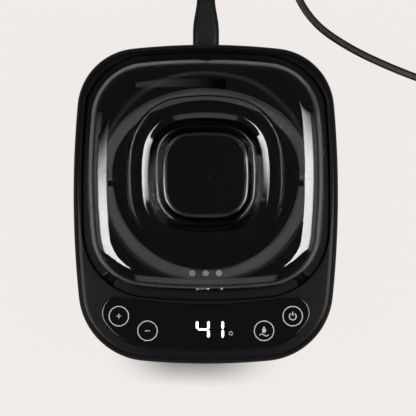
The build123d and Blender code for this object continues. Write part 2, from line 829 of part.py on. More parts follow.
def handle(side, eye_from, eye_to):
    """A half-ring handle that lies flat in front of (-1) or behind (1) the hinge axis."""
    top = hinge_z - handle_face_drop
    with BuildPart() as half_ring:
        extrude(ring(top - handle_thickness, handle_inner_radius, handle_outer_radius),
                amount=handle_thickness)
        inner_top = half_ring.edges().filter_by(GeomType.CIRCLE).group_by(Axis.Z)[-1]
        chamfer(inner_top.sort_by(SortBy.RADIUS)[0], handle_bevel)
        with BuildSketch(Plane.XY.offset(top - handle_thickness)):
            with Locations((0, well_y - side * (handle_outer_radius - hinge_clear))):
                Rectangle(3 * handle_outer_radius, 2 * handle_outer_radius)
        extrude(amount=handle_thickness, mode=Mode.SUBTRACT)
        with BuildSketch(across_plane) as arm:
            with Locations((well_y, hinge_z)):
                Circle(eye_radius)
            with Locations((well_y + side * (hinge_clear + arm_overlap) / 2,
                            top - arm_thickness / 2)):
                Rectangle(hinge_clear + arm_overlap, arm_thickness)
        spread(arm.sketch, eye_from, eye_to)
        spread(hinge_disc(hinge_pin_diameter / 2 + hinge_play), eye_from - cut_over, eye_to + cut_over,
               Mode.SUBTRACT)
    return half_ring


save(handle(-1, eye_front_from, eye_front_to), "handle_front")
with BuildPart() as handle_rear:
    add(handle(1, eye_rear_from, eye_rear_to).part.rotate(hinge_axis, handle_raise))
save(handle_rear, "handle_rear")

# Inlet: the socket in the back wall and its two pins
inlet_back = inlet_face - inlet_length
recess_back = inlet_face - inlet_recess_depth
pin_places = [(-inlet_pin_pitch / 2, 0), (inlet_pin_pitch / 2, 0)]
with BuildPart() as inlet_socket:
    with BuildSketch(inlet_plane(inlet_back)):
        RectangleRounded(inlet_width, inlet_tall, inlet_corner)
    extrude(amount=inlet_length)
    flange_front = inlet_wall_y - shell_wall - inlet_flange_gap
    with BuildSketch(inlet_plane(flange_front - inlet_flange)):
        RectangleRounded(inlet_width + 2 * inlet_flange, inlet_tall + 2 * inlet_flange, inlet_corner)
    extrude(amount=inlet_flange)
    with BuildSketch(inlet_plane(recess_back)):
        SlotOverall(nose_width + 2 * nose_gap, nose_tall + 2 * nose_gap)
    extrude(amount=inlet_recess_depth + cut_over, mode=Mode.SUBTRACT)
    with BuildSketch(inlet_plane(inlet_back)):
        with Locations(*pin_places):
            Circle(inlet_pin_diameter / 2)
    extrude(amount=inlet_length, mode=Mode.SUBTRACT)
save(inlet_socket, "inlet_socket")

with BuildPart() as inlet_pins:
    with BuildSketch(inlet_plane(inlet_back)):
        with Locations(*pin_places):
            Circle(inlet_pin_diameter / 2)
    extrude(amount=recess_back + inlet_pin_length - inlet_back)
    chamfer(inlet_pins.edges().group_by(Axis.Y)[-1], inlet_pin_diameter / 4)
save(inlet_pins, "inlet_pins")

# Lead: the connector, its ribbed strain relief and the flat cord
connector_face = inlet_face + connector_gap
with BuildPart() as lead_connector:
    with BuildSketch(inlet_plane(recess_back + nose_end_gap)):
        SlotOverall(nose_width, nose_tall)
    extrude(amount=connector_face - recess_back - nose_end_gap)
    with BuildSketch(inlet_plane(connector_face)):
        RectangleRounded(grip_wide, grip_tall, grip_corner)
    with BuildSketch(inlet_plane(connector_face + grip_length * grip_straight)):
        RectangleRounded(grip_wide, grip_tall, grip_corner)
    with BuildSketch(inlet_plane(connector_face + grip_length)):
        RectangleRounded(grip_narrow, grip_low, grip_corner)
    loft(ruled=True)
    with BuildSketch(inlet_plane(recess_back)):
        with Locations(*pin_places):
            Circle(inlet_pin_diameter / 2 + nose_pin_gap)
    extrude(amount=inlet_pin_length + cut_over, mode=Mode.SUBTRACT)
save(lead_connector, "lead_connector")


def strain_relief(plane, length, radius, end_radius, ribs):
    """A tapered sleeve with round grooves, drawn from the origin of a plane along its normal."""
    pitch = length / ribs
    with BuildPart(plane) as sleeve:
        with BuildSketch(plane):
            Circle(radius)
        with BuildSketch(plane.offset(length)):
            Circle(end_radius)
        loft()
        for index in range(1, ribs):
            with BuildSketch(plane.offset(index * pitch - relief_slot / 2)):
                Circle(2 * radius)
                Circle(relief_core_radius, mode=Mode.SUBTRACT)
            extrude(amount=relief_slot, mode=Mode.SUBTRACT)
    return sleeve


relief_start = connector_face + grip_length
save(strain_relief(inlet_plane(relief_start), relief_length, relief_radius, relief_end_radius,
                   relief_ribs), "connector_strain_relief")


def bend_radii(points, share):
    """For each inner point, the radius of an arc that takes a share of the shorter run beside it."""
    radii = []
    for before, here, after in zip(points, points[1:], points[2:]):
        dot = sum((b - a) * (c - b) for a, b, c in zip(before, here, after))
        turn = acos(dot / (dist(before, here) * dist(here, after)))
        radii.append(share * min(dist(before, here), dist(here, after)) / tan(turn / 2))
    return radii


def tube(points, diameter, share, sides):
    """A tube with a number of sides along straight runs joined by tangent arcs."""
    radii = bend_radii(points, share)
    with BuildPart() as hose:
        with BuildLine():
            route = FilletPolyline(*points, radius=radii)
        with BuildSketch(Plane(origin=route @ 0, z_dir=route % 0)):
            RegularPolygon(diameter / 2, sides)
        sweep(path=route)
    return hose, route.length, radii


def coil_point(turns, radius, height):
    """A point of the coil: half turns since its start, distance from its middle, height."""
    angle = radians(coil_start_angle) + pi * turns
    return (coil_x + radius * cos(angle), coil_y + radius * sin(angle), height)


def coil_way(turns):
    """The direction in which the coil runs after a number of half turns."""
    angle = radians(coil_start_angle) + pi * turns
    return (-sin(angle), cos(angle), 0)


coil_begin = coil_point(0, coil_outer_radius, lead_floor)
stub_start = tuple(place - cord_diameter * way for place, way in zip(coil_begin, coil_way(0)))
approach = tuple(place - coil_approach * way for place, way in zip(stub_start, coil_way(0)))
lead_points = [(0, relief_start + relief_length, inlet_height)] + lead_route + [approach, stub_start]
mains_cord, lead_length, lead_radii = tube(lead_points, cord_diameter, cord_bend_share, cord_sides)
save(mains_cord, "mains_cord")
cord_section = cord_sides / 2 * (cord_diameter / 2) ** 2 * sin(2 * pi / cord_sides)
section_volume = cord_section * lead_length
print("cord radii", [round(radius, 1) for radius in lead_radii], "length", round(lead_length, 1))
print("cord volume over section times length", round(mains_cord.part.volume / section_volume, 4))

# The put-away length: wound inwards on the table, up half a turn at the inside, and out again on
# top. Each half turn is an arc whose ends stand square to one line through the middle.
coil_upper = lead_floor + coil_rise
coil_end_turns = 2 * coil_half_turns + 1
coil_end = coil_point(coil_end_turns, coil_outer_radius, coil_upper)
coil_exit = tuple(place + cord_diameter * way for place, way in zip(coil_end, coil_way(coil_end_turns)))
with BuildPart() as mains_cord_coil:
    with BuildLine() as winding:
        Line(stub_start, coil_point(0, coil_outer_radius, lead_floor))
        for half_turn in range(coil_half_turns):
            start_radius = coil_outer_radius - half_turn * coil_pitch / 2
            TangentArc(coil_point(half_turn, start_radius, lead_floor),
                       coil_point(half_turn + 1, start_radius - coil_pitch / 2, lead_floor),
                       tangent=coil_way(half_turn))
        climb_radius = hypot(coil_inner_radius, coil_rise / 2)
        climb_middle = coil_point(coil_half_turns + 0.5, climb_radius, lead_floor + coil_rise / 2)
        climb = TangentArc(coil_point(coil_half_turns, coil_inner_radius, lead_floor), climb_middle,
                           tangent=coil_way(coil_half_turns))
        TangentArc(climb_middle, coil_point(coil_half_turns + 1, coil_inner_radius, coil_upper),
                   tangent=climb % 1)
        for half_turn in range(coil_half_turns):
            start_radius = coil_inner_radius + half_turn * coil_pitch / 2
            turns = coil_half_turns + 1 + half_turn
            TangentArc(coil_point(turns, start_radius, coil_upper),
                       coil_point(turns + 1, start_radius + coil_pitch / 2, coil_upper),
                       tangent=coil_way(turns))
        Line(coil_end, coil_exit)
    with BuildSketch(Plane(origin=stub_start, z_dir=coil_way(0))):
        RegularPolygon(cord_diameter / 2, cord_sides)
    sweep(path=winding.line)
save(mains_cord_coil, "mains_cord_coil")
coil_route = winding.wires()[0]
coil_length = coil_route.length
coil_volume = cord_section * coil_length
print("coil length", round(coil_length, 1), "coil volume over section times length",
      round(mains_cord_coil.part.volume / coil_volume, 4))
coil_points = [tuple(coil_route.position_at(index / coil_samples)) for index in range(coil_samples + 1)]
apart = int(coil_samples * 3 * cord_diameter / coil_length)
least_gap = min(dist(coil_points[first], second) for first in range(coil_samples + 1)
                for second in coil_points[first + apart:]) - cord_diameter
print("least gap of the coil to itself", round(least_gap, 2))


def plug_plane(reach):
    """A plane across the plug's axis, a distance on from the end of the coil."""
    way = coil_way(coil_end_turns)
    return Plane(origin=tuple(place + reach * step for place, step in zip(coil_exit, way)),
                 x_dir=(way[1], -way[0], 0), z_dir=way)


plug_start = plug_relief_length
plug_face = plug_start + plug_length
save(strain_relief(plug_plane(0), plug_relief_length, relief_end_radius, relief_radius,
                   relief_ribs), "plug_strain_relief")
blade_places = [(-blade_pitch / 2, 0), (blade_pitch / 2, 0)]
with BuildPart() as mains_plug:
    with BuildSketch(plug_plane(plug_start)):
        RectangleRounded(plug_narrow, plug_low, plug_corner)
    with BuildSketch(plug_plane(plug_start + plug_length * plug_taper)):
        RectangleRounded(plug_wide, plug_tall, plug_corner)
    with BuildSketch(plug_plane(plug_face)):
        RectangleRounded(plug_wide, plug_tall, plug_corner)
    loft(ruled=True)
    with BuildSketch(plug_plane(plug_face - blade_in_plug)):
        with Locations(*blade_places):
            Rectangle(blade_thick, blade_wide)
    extrude(amount=blade_in_plug, mode=Mode.SUBTRACT)
save(mains_plug, "mains_plug")

with BuildPart() as plug_blades:
    with BuildSketch(plug_plane(plug_face - blade_in_plug)):
        with Locations(*blade_places):
            Rectangle(blade_thick, blade_wide)
    extrude(amount=blade_in_plug + blade_length)
save(plug_blades, "plug_blades")

# Power board on the base's bosses, with what stands on it
with BuildPart() as power_board:
    extrude(block(0, power_board_y, power_board_under, power_board_length, power_board_width),
            amount=board_thickness)
    extrude(block(ribbon_x, ribbon_y, power_board_top, ribbon_width + 2 * plug_block_wall, plug_block),
            amount=plug_block)
    extrude(discs(power_board_under, power_boss_places, screw_diameter + 2 * screw_play),
            amount=board_thickness, mode=Mode.SUBTRACT)
save(power_board, "power_board")

save(screws(power_board_top + screw_head, power_boss_places,
            board_thickness + power_board_rise - screw_play, turned=True), "power_board_screws")

with BuildPart() as transformer:
    extrude(block(transformer_x, power_board_y + transformer_off, power_board_top, transformer_length,
                  transformer_width), amount=transformer_height)
    fillet(transformer.edges().filter_by(Axis.Z), transformer_round)
save(transformer, "transformer")

with BuildPart() as relay:
    extrude(block(relay_x, power_board_y + relay_off, power_board_top, relay_length, relay_width),
            amount=relay_height)
save(relay, "relay")

with BuildPart() as capacitors:
    extrude(block(film_capacitor_x, power_board_y + film_capacitor_off, power_board_top,
                  film_capacitor_length, film_capacitor_width), amount=film_capacitor_height)
    extrude(discs(power_board_top, [(sx * round_capacitor_x, power_board_y + round_capacitor_off)
                                    for sx in (-1, 1)], round_capacitor_diameter),
            amount=round_capacitor_height)
save(capacitors, "capacitors")

with BuildPart() as board_fuse:
    with BuildSketch(Plane(origin=(board_fuse_x - board_fuse_length / 2, power_board_y + board_fuse_off,
                                   power_board_top + board_fuse_diameter / 2), z_dir=(1, 0, 0))):
        Circle(board_fuse_diameter / 2)
    extrude(amount=board_fuse_length)
save(board_fuse, "board_fuse")

terminal_y = power_board_y + terminal_off
with BuildPart() as terminal_block:
    extrude(block(0, terminal_y, power_board_top, terminal_length, terminal_width),
            amount=terminal_height)
save(terminal_block, "terminal_block")

# Wiring inside
terminal_back = terminal_y + terminal_width / 2
wire_run = base_top + wire_floor
wire_into = power_board_top + wire_entry
inlet_wire_y = inlet_back + inlet_wire_inset


def wires(starts):
    """Two wires, each from its own start to its pole on the terminal block."""
    with BuildPart() as pair:
        for points in starts:
            add(tube(points, wire_diameter, cord_bend_share, wire_sides)[0].part)
    return pair


save(wires([[(side * inlet_pin_pitch / 2, inlet_wire_y, inlet_height - inlet_tall / 2),
             (side * inlet_pin_pitch / 2, inlet_wire_y, wire_run),
             (side * mains_pole, inlet_wire_y - 2 * mains_pole, wire_run),
             (side * mains_pole, wire_rise_y, wire_run),
             (side * mains_pole, wire_rise_y, wire_into),
             (side * mains_pole, terminal_back, wire_into)] for side in (-1, 1)]), "mains_wires")
band_wire_y = well_y - well_outer_radius - heater_band_thickness / 2
hole_y = well_y - shield_hole_circle
under_well = (well_under + shield_floor + shield_wall) / 2
save(wires([[(side * band_wire_x, band_wire_y, heater_band_low),
             (side * band_wire_x, band_wire_y, under_well),
             (side * heater_pole, hole_y, under_well),
             (side * heater_pole, hole_y, wire_run),
             (side * heater_pole, wire_rise_y, wire_run),
             (side * heater_pole, wire_rise_y, wire_into),
             (side * heater_pole, terminal_back, wire_into)] for side in (-1, 1)]), "heater_wires")

# Ribbon cable between the two boards, a flat strip with one slack bow
ribbon_low = power_board_top + plug_block
ribbon_high = board_top - board_thickness - plug_block
with BuildPart() as ribbon_cable:
    with BuildSketch(Plane.YZ.offset(ribbon_x - ribbon_width / 2)):
        with BuildLine():
            for near in (-ribbon_thickness / 2, ribbon_thickness / 2):
                ThreePointArc((ribbon_y + near, ribbon_low),
                              (ribbon_y + near + ribbon_bow, (ribbon_low + ribbon_high) / 2),
                              (ribbon_y + near, ribbon_high))
            for height in (ribbon_low, ribbon_high):
                Line((ribbon_y - ribbon_thickness / 2, height), (ribbon_y + ribbon_thickness / 2, height))
        make_face()
    extrude(amount=ribbon_width)
save(ribbon_cable, "ribbon_cable")
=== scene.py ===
import json
from math import acos, atan, atan2, cos, degrees, hypot, pi, radians, sin, sqrt, tan
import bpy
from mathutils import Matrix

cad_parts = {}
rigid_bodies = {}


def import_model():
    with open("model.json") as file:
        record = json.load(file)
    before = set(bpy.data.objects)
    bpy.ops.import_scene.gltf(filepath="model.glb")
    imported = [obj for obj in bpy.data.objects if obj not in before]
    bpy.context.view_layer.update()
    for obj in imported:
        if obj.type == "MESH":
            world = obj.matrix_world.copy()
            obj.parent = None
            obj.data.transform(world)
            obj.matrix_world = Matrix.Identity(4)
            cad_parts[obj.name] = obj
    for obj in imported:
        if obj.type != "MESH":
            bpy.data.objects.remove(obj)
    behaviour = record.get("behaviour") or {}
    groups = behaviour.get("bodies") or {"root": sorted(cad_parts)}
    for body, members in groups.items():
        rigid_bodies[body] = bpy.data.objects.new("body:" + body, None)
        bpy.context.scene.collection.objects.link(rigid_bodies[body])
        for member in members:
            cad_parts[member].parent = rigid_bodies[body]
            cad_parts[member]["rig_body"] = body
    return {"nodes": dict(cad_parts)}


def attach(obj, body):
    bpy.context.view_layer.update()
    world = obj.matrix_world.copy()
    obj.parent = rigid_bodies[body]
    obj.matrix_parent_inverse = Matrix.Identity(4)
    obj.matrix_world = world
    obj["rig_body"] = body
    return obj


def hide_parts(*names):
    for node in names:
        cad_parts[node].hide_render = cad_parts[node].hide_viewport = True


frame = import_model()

from types import SimpleNamespace

import bmesh
import bpy
from bpy.props import FloatProperty, IntProperty, PointerProperty, StringProperty
from mathutils import Vector
from mathutils.geometry import tessellate_polygon

bl_info = {
    "name": "Wax warmer",
    "version": (1, 0, 0),
    "blender": (4, 5, 0),
    "location": "3D View > Sidebar > Wax warmer",
    "description": "Builds a wax warmer round its packed frame, piece by piece, and its stage",
    "category": "Object",
}

# Lengths are in millimetres until a mesh is made of them. The frame's origin is on the table under
# the middle of the housing, +Y is the back, where the lead plugs in.
MM = 0.001


def length(name, millimetres, description):
    """A property that holds a length, given here in millimetres."""
    return FloatProperty(name=name, description=description, default=millimetres * MM,
                         subtype="DISTANCE", unit="LENGTH", precision=5)


def angle(name, degree, description):
    """A property that holds an angle, given here in degrees."""
    return FloatProperty(name=name, description=description, default=radians(degree),
                         subtype="ANGLE", unit="ROTATION")


def colour(name, code, description):
    """A property that holds a colour as an sRGB hex code."""
    return StringProperty(name=name, description=description, default=code)


class HousingSizes(bpy.types.PropertyGroup):
    """Sizes of the housing, its deck and the control panel."""

    half_width: length("Half width", 87.5, "From the middle to the widest line of the side")
    back: length("Back", 99.1, "From the widest line to the back")
    front: length("Front", 111.9, "From the widest line to the front")
    middle: length("Widest line", 6.4, "Where the housing is widest, behind the origin")
    side_bow: length("Side bow", 660.0, "Radius of the side arcs")
    end_bow: length("End bow", 445.0, "Radius of the back and front arcs")
    back_corner: length("Back corner", 41.0, "Corner radius at the back")
    front_corner: length("Front corner", 47.0, "Corner radius at the front")
    top: length("Top", 97.0, "Height of the deck")
    bottom: length("Bottom", 3.5, "Height of the lower edge")
    lean: length("Lean", 4.0, "How far the wall draws in towards the table")
    wall: length("Wall", 2.8, "Thickness of the shell")
    edge_round: length("Edge round", 5.5, "Radius of the upper edge")
    foot_round: length("Foot round", 6.0, "Radius of the lower edge")
    deck_under: length("Deck underside", 91.0, "Height of the seat plate's underside")
    deck_gap: length("Deck gap", 0.2, "Gap between the shell and the deck")
    seam_round: length("Seam round", 0.35, "Radius of the moulded edges beside a seam")
    ledge: length("Ledge", 4.0, "Width of the ledge that the deck lies on")
    base_ledge: length("Base ledge", 2.0, "Width of the ledge above the base plate")
    base_top: length("Base top", 7.0, "Height of the base plate's upper face")
    panel_border: length("Panel border", 9.3, "Deck left outside the control panel")
    panel_bow: length("Panel bow", 292.0, "Radius of the panel's upper edge")
    panel_end: length("Panel end", 11.0, "Radius of the panel's two ends")
    panel_thickness: length("Panel thickness", 1.2, "Thickness of the overlay")
    panel_gap: length("Panel gap", 0.15, "Gap round the overlay")
    panel_drop: length("Panel drop", 7.3, "From the lid's rim to the panel's upper edge")
    foot_end: angle("Foot end", 58.0, "Where the rounded lower edge ends")
    shell_edge_end: angle("Shell edge end", 57.0, "Where the shell's share of the edge ends")
    deck_edge_start: angle("Deck edge start", 64.0, "Where the deck's share of the edge begins")
    plate: length("Deck plate", 2.5, "Thickness of the deck between its skirts")
    rim_skirt: length("Rim skirt", 1.2, "Thickness of the skirt under the deck's rim")
    seat_skirt: length("Seat skirt", 0.6, "Thickness of the skirt round the lid's seat")
    opening_wide: length("Opening width", 24.4, "Width of the opening for the inlet")
    opening_tall: length("Opening height", 15.4, "Height of the opening for the inlet")
    opening_corner: length("Opening corner", 2.5, "Corner radius of the opening for the inlet")


class PanelSizes(bpy.types.PropertyGroup):
    """The line that the control panel's edge runs along, before it is drawn in."""

    half_width: length("Half width", 87.5, "From the middle to the widest line of the side")
    back: length("Back", 90.5, "From the widest line to the back")
    front: length("Front", 120.5, "From the widest line to the front")
    middle: length("Widest line", 15.0, "Where the line is widest, behind the origin")
    side_bow: length("Side bow", 480.0, "Radius of the side arcs")
    end_bow: length("End bow", 350.0, "Radius of the back and front arcs")
    back_corner: length("Back corner", 42.0, "Corner radius at the back")
    front_corner: length("Front corner", 46.0, "Corner radius at the front")


class LidSizes(bpy.types.PropertyGroup):
    """Sizes of the lid and its seat."""

    well: length("Well", 18.3, "Middle of lid, pot and well, behind the origin")
    half_width: length("Half width", 77.9, "Half width at the rim")
    half_length: length("Half length", 76.8, "Half length at the rim")
    bow: length("Bow", 400.0, "Radius of the four sides")
    corner: length("Corner", 39.0, "Corner radius")
    rim: length("Rim", 93.8, "Height of the rim")
    top: length("Top", 135.7, "Height of the flat")
    wall: length("Wall", 1.8, "Thickness of the moulding")
    lean: length("Lean", 5.0, "How far the wall draws in towards the top")
    shoulder: length("Shoulder", 13.0, "Radius of the shoulder")
    seat_border: length("Seat border", 4.6, "Gap between the lid and the seat's wall")
    crease: length("Crease", 48.4, "Half width of the crease round the trough")
    crease_bow: length("Crease bow", 118.0, "Radius of the crease's sides")
    crease_corner: length("Crease corner", 36.0, "Corner radius of the crease")
    crease_step: length("Crease step", 0.8, "Drop at the crease")
    trough: length("Trough", 31.6, "Half width of the trough's floor")
    trough_depth: length("Trough depth", 9.5, "Depth of the trough under the flat")
    lip_slope: angle("Lip slope", 5.0, "Slope of the shallow lip inside the crease")
    wall_slope: angle("Wall slope", 32.0, "Slope of the trough's wall below the lip")
    foot_slope: angle("Foot slope", 54.0, "Slope of the trough's wall above its foot")
    grip: length("Grip", 26.5, "Half width of the grip's top")
    grip_bow: length("Grip bow", 120.0, "Radius of the grip's sides")
    grip_corner: length("Grip corner", 16.0, "Corner radius of the grip")
    grip_lean: length("Grip lean", 4.0, "How much wider the grip is at its foot")
    grip_sink: length("Grip sink", 1.5, "How far the grip stands below the flat")
    grip_edge: length("Grip edge", 1.4, "Radius of the grip's upper edge")
    foot_round: length("Foot round", 0.9, "Radius between the trough's floor and its walls")
    vent: length("Vent", 4.0, "Diameter of the vent holes")
    vent_pitch: length("Vent pitch", 8.4, "Distance between the vent holes")
    vent_inset: length("Vent inset", 15.3, "Distance of the vent holes from the rim")
    wall_end: length("Wall end", 108.0, "Height up to which the wall is drawn straight")
    gate_x: length("Gate across", 1.0, "Middle of the gate mark")
    gate_y: length("Gate back", 17.3, "Middle of the gate mark")


class PotSizes(bpy.types.PropertyGroup):
    """Sizes of the wax pot."""

    inner: length("Inner radius", 57.9, "Inside radius")
    wall: length("Wall", 1.3, "Thickness of the wall")
    floor: length("Floor", 26.4, "Height of the inside floor")
    corner: length("Corner", 8.0, "Inside radius between wall and floor")
    flange: length("Flange", 68.4, "Radius of the flange")
    flange_under: length("Flange underside", 82.2, "Height of the flange's underside")
    flange_top: length("Flange top", 83.4, "Height of the flange's top")
    lip: length("Lip", 1.1, "Radius of the rolled edge into the pot")


class PrintSizes(bpy.types.PropertyGroup):
    """Sizes of the prints on the control panel."""

    key: length("Key ring", 13.4, "Diameter of a key's ring")
    line: length("Line", 0.6, "Width of the printed lines")
    ink: length("Ink", 0.02, "Thickness of the print")
    outer_x: length("Outer keys", 57.0, "Distance of the outer keys from the middle")
    outer_y: length("Outer keys' place", -73.4, "Place of the outer keys")
    inner_x: length("Inner keys", 38.2, "Distance of the inner keys from the middle")
    inner_y: length("Inner keys' place", -83.0, "Place of the inner keys")
    digit_height: length("Digit height", 11.2, "Height of the display's digits")
    digit_width: length("Digit width", 9.0, "Width of a digit")
    digit_stroke: length("Digit stroke", 1.6, "Width of a digit's segments")
    digit_y: length("Digits' place", -82.1, "Middle of the digits")
    digits_left: length("Digits' left end", -6.46, "Left edge of the first digit")
    one_x: length("One's place", 11.1, "Middle of the second digit's strokes")
    mark_x: length("Mark across", 16.4, "Middle of the faint ring beside the digits")
    mark_below: length("Mark below", 2.6, "From the digits' middle down to the faint ring")
    mark_radius: length("Mark radius", 1.4, "Outer radius of the faint ring")
    mark_line: length("Mark line", 0.5, "Width of the faint ring's line")
    plus: length("Plus", 3.2, "Length of the plus sign's arms")
    minus: length("Minus", 3.4, "Length of the minus sign")
    power_radius: length("Power radius", 2.6, "Outer radius of the power sign's arc")
    power_line: length("Power line", 0.7, "Width of the power sign's lines")
    power_rise: length("Power rise", 3.0, "Top of the power sign's bar over the key's middle")
    drop_wide: length("Drop width", 1.75, "Half width of the drop")
    drop_tall: length("Drop height", 2.3, "Half height of the drop")
    drop_rise: length("Drop rise", 0.9, "Middle of the drop over the key's middle")
    wave_inner: length("Wave inner", 1.2, "Inner radius of the wave's arcs")
    wave_outer: length("Wave outer", 1.8, "Outer radius of the wave's arcs")
    wave_step: length("Wave step", 1.5, "From the key's middle to the middle of a wave's arc")


class LeadSizes(bpy.types.PropertyGroup):
    """Sizes of the mains lead."""

    cord_wide: length("Cord width", 5.4, "Width of the flat cord")
    cord_thick: length("Cord thickness", 3.3, "Thickness of the flat cord")
    face: length("Connector face", 103.377, "Where the connector's grip begins")
    inlet: length("Inlet", 24.0, "Height of the inlet")
    grip: length("Grip", 46.0, "Length of the connector's grip")
    grip_wide: length("Grip width", 18.6, "Width of the grip at the housing")
    grip_narrow: length("Grip end width", 12.6, "Width of the grip at the cord")
    grip_tall: length("Grip height", 11.0, "Height of the grip at the housing")
    grip_low: length("Grip end height", 8.6, "Height of the grip at the cord")
    grip_corner: length("Grip corner", 4.0, "Corner radius of the grip")
    nose_wide: length("Nose width", 17.4, "Width of the part that goes into the inlet")
    nose_tall: length("Nose height", 8.8, "Height of the part that goes into the inlet")
    nose: length("Nose", 11.4, "Length of the part that goes into the inlet")
    coil_x: length("Coil across", 200.4, "Middle of the put-away coil")
    coil_y: length("Coil back", 122.0, "Middle of the put-away coil")
    coil_radius: length("Coil radius", 37.3, "Outer radius of the coil")
    coil_pitch: length("Coil pitch", 5.6, "Distance between neighbouring turns")
    coil_half_turns: IntProperty(name="Half turns", description="Half turns in each layer",
                                 default=6)
    coil_end: length("Coil end height", 7.0, "Height of the cord where the plug begins")
    coil_start: angle("Coil start", -100.0, "Direction in which the coil begins")
    coil_gap: length("Coil gap", 0.3, "Gap between the coil's two layers")
    grip_bevel: length("Grip bevel", 0.7, "Bevel at the grip's two ends")
    grip_straight: FloatProperty(name="Grip straight", default=0.45,
                                 description="Share of the grip that is not tapered")


class StageSizes(bpy.types.PropertyGroup):
    """Places of the camera and the shadow on the table."""

    lens: FloatProperty(name="Lens", description="Focal length in millimetres", default=106.0)
    camera_x: length("Camera across", 1.45, "Place of the camera")
    camera_y: length("Camera back", -2.5, "Place of the camera")
    camera_up: length("Camera up", 900.0, "Height of the camera")
    table: length("Table", 4000.0, "Half width of the table top")
    table_gap: length("Table gap", 0.05, "Gap between the table and what stands on it")
    shadow: length("Shadow", 34.0, "How far the shadow reaches in front of the housing")


class Colours(bpy.types.PropertyGroup):
    """Colours as sRGB hex codes."""

    shell: colour("Shell", "#070708", "Housing shell")
    deck: colour("Deck", "#070708", "Deck and seat")
    overlay: colour("Overlay", "#020202", "Control panel")
    base: colour("Base", "#101011", "Base plate")
    rubber: colour("Rubber", "#161616", "Feet")
    smoke: colour("Smoke", "#868688", "Lid, seen through one wall")
    pot: colour("Pot", "#1A1714", "Pot")
    handle: colour("Handle", "#D2D1CA", "Handles")
    steel: colour("Steel", "#B4B2AD", "Screws, shield and clamp")
    blackened: colour("Blackened steel", "#4A4946", "Brackets and pins")
    aluminium: colour("Aluminium", "#B9B9BA", "Well")
    brass: colour("Brass", "#B9A264", "Pins and blades")
    silicone: colour("Silicone", "#6E6E6C", "Seal")
    mica: colour("Mica", "#8E7F5E", "Heater band")
    board: colour("Board", "#1E4A2C", "Circuit boards")
    foam: colour("Foam", "#3C3C3C", "Touch pads")
    ink: colour("Ink", "#666664", "Prints on the panel")
    white: colour("White", "#F2F2EE", "Prints and wires")
    yellow: colour("Yellow", "#C79B2C", "Transformer")
    blue: colour("Blue", "#2A4E86", "Relay")
    green: colour("Green", "#2C7A45", "Terminal block")
    brown: colour("Brown", "#6A4526", "Wires")
    grey: colour("Grey", "#8C8E90", "Ribbon cable")
    cord: colour("Cord", "#070708", "Lead")
    floor: colour("Floor", "#F2EDEA", "Table top, as the camera sees it")
    table: colour("Table", "#6F6E6D", "Table top, as it throws light back")


def sizes(group):
    """A property group's lengths in millimetres, its whole numbers as they are."""
    values = {}
    for name, made in group.__annotations__.items():
        value = getattr(group, name)
        values[name] = value / MM if made.keywords.get("subtype") == "DISTANCE" else value
    return SimpleNamespace(**values)


# Materials


def linear(code):
    """An sRGB hex code as linear red, green, blue and alpha."""
    parts = [int(code[index:index + 2], 16) / 255 for index in (1, 3, 5)]
    return [part / 12.92 if part <= 0.04045 else ((part + 0.055) / 1.055) ** 2.4
            for part in parts] + [1]


def add_node(tree, kind, settings=None, values=None, links=None):
    """A node with its settings, its sockets' values and what is linked into its sockets."""
    node = tree.nodes.new(kind)
    for name, value in (settings or {}).items():
        setattr(node, name, value)
    for name, value in (values or {}).items():
        node.inputs[name].default_value = value
    for name, source in (links or {}).items():
        tree.links.new(source, node.inputs[name])
    return node


def finish(name, code, rough, spread=0.04, shade=0.12, grain=4.0, bump=0.0, bump_grain=0.6,
           **values):
    """A material whose colour and roughness wander a little over the surface.

    grain and bump_grain are the sizes of the wander and of the relief in millimetres, bump is the
    relief's depth in millimetres, values go on the shader's own sockets.
    """
    material = bpy.data.materials.new(name)
    material.use_nodes = True
    tree = material.node_tree
    tree.nodes.clear()
    place = add_node(tree, "ShaderNodeTexCoord")
    wander = add_node(tree, "ShaderNodeTexNoise", values={"Scale": 1 / (grain * MM), "Detail": 4.0},
                      links={"Vector": place.outputs["Object"]})
    base = linear(code)
    darker = [part * (1 - shade) for part in base[:3]] + [1]
    tint = add_node(tree, "ShaderNodeMix", {"data_type": "RGBA"},
                    links={"Factor": wander.outputs["Fac"]})
    for socket in tint.inputs:
        if socket.type == "RGBA":
            socket.default_value = darker if socket.name == "A" else base
    colour_out = next(socket for socket in tint.outputs if socket.type == "RGBA")
    roughness = add_node(tree, "ShaderNodeMapRange",
                         values={"To Min": max(0.0, rough - spread), "To Max": rough + spread},
                         links={"Value": wander.outputs["Fac"]})
    shader = add_node(tree, "ShaderNodeBsdfPrincipled", values=values,
                      links={"Base Color": colour_out, "Roughness": roughness.outputs["Result"]})
    if bump:
        relief = add_node(tree, "ShaderNodeTexNoise",
                          values={"Scale": 1 / (bump_grain * MM), "Detail": 2.0},
                          links={"Vector": place.outputs["Object"]})
        surface = add_node(tree, "ShaderNodeBump", values={"Distance": bump * MM, "Strength": 1.0},
                           links={"Height": relief.outputs["Fac"]})
        tree.links.new(surface.outputs["Normal"], shader.inputs["Normal"])
    add_node(tree, "ShaderNodeOutputMaterial", links={"Surface": shader.outputs["BSDF"]})
    return material


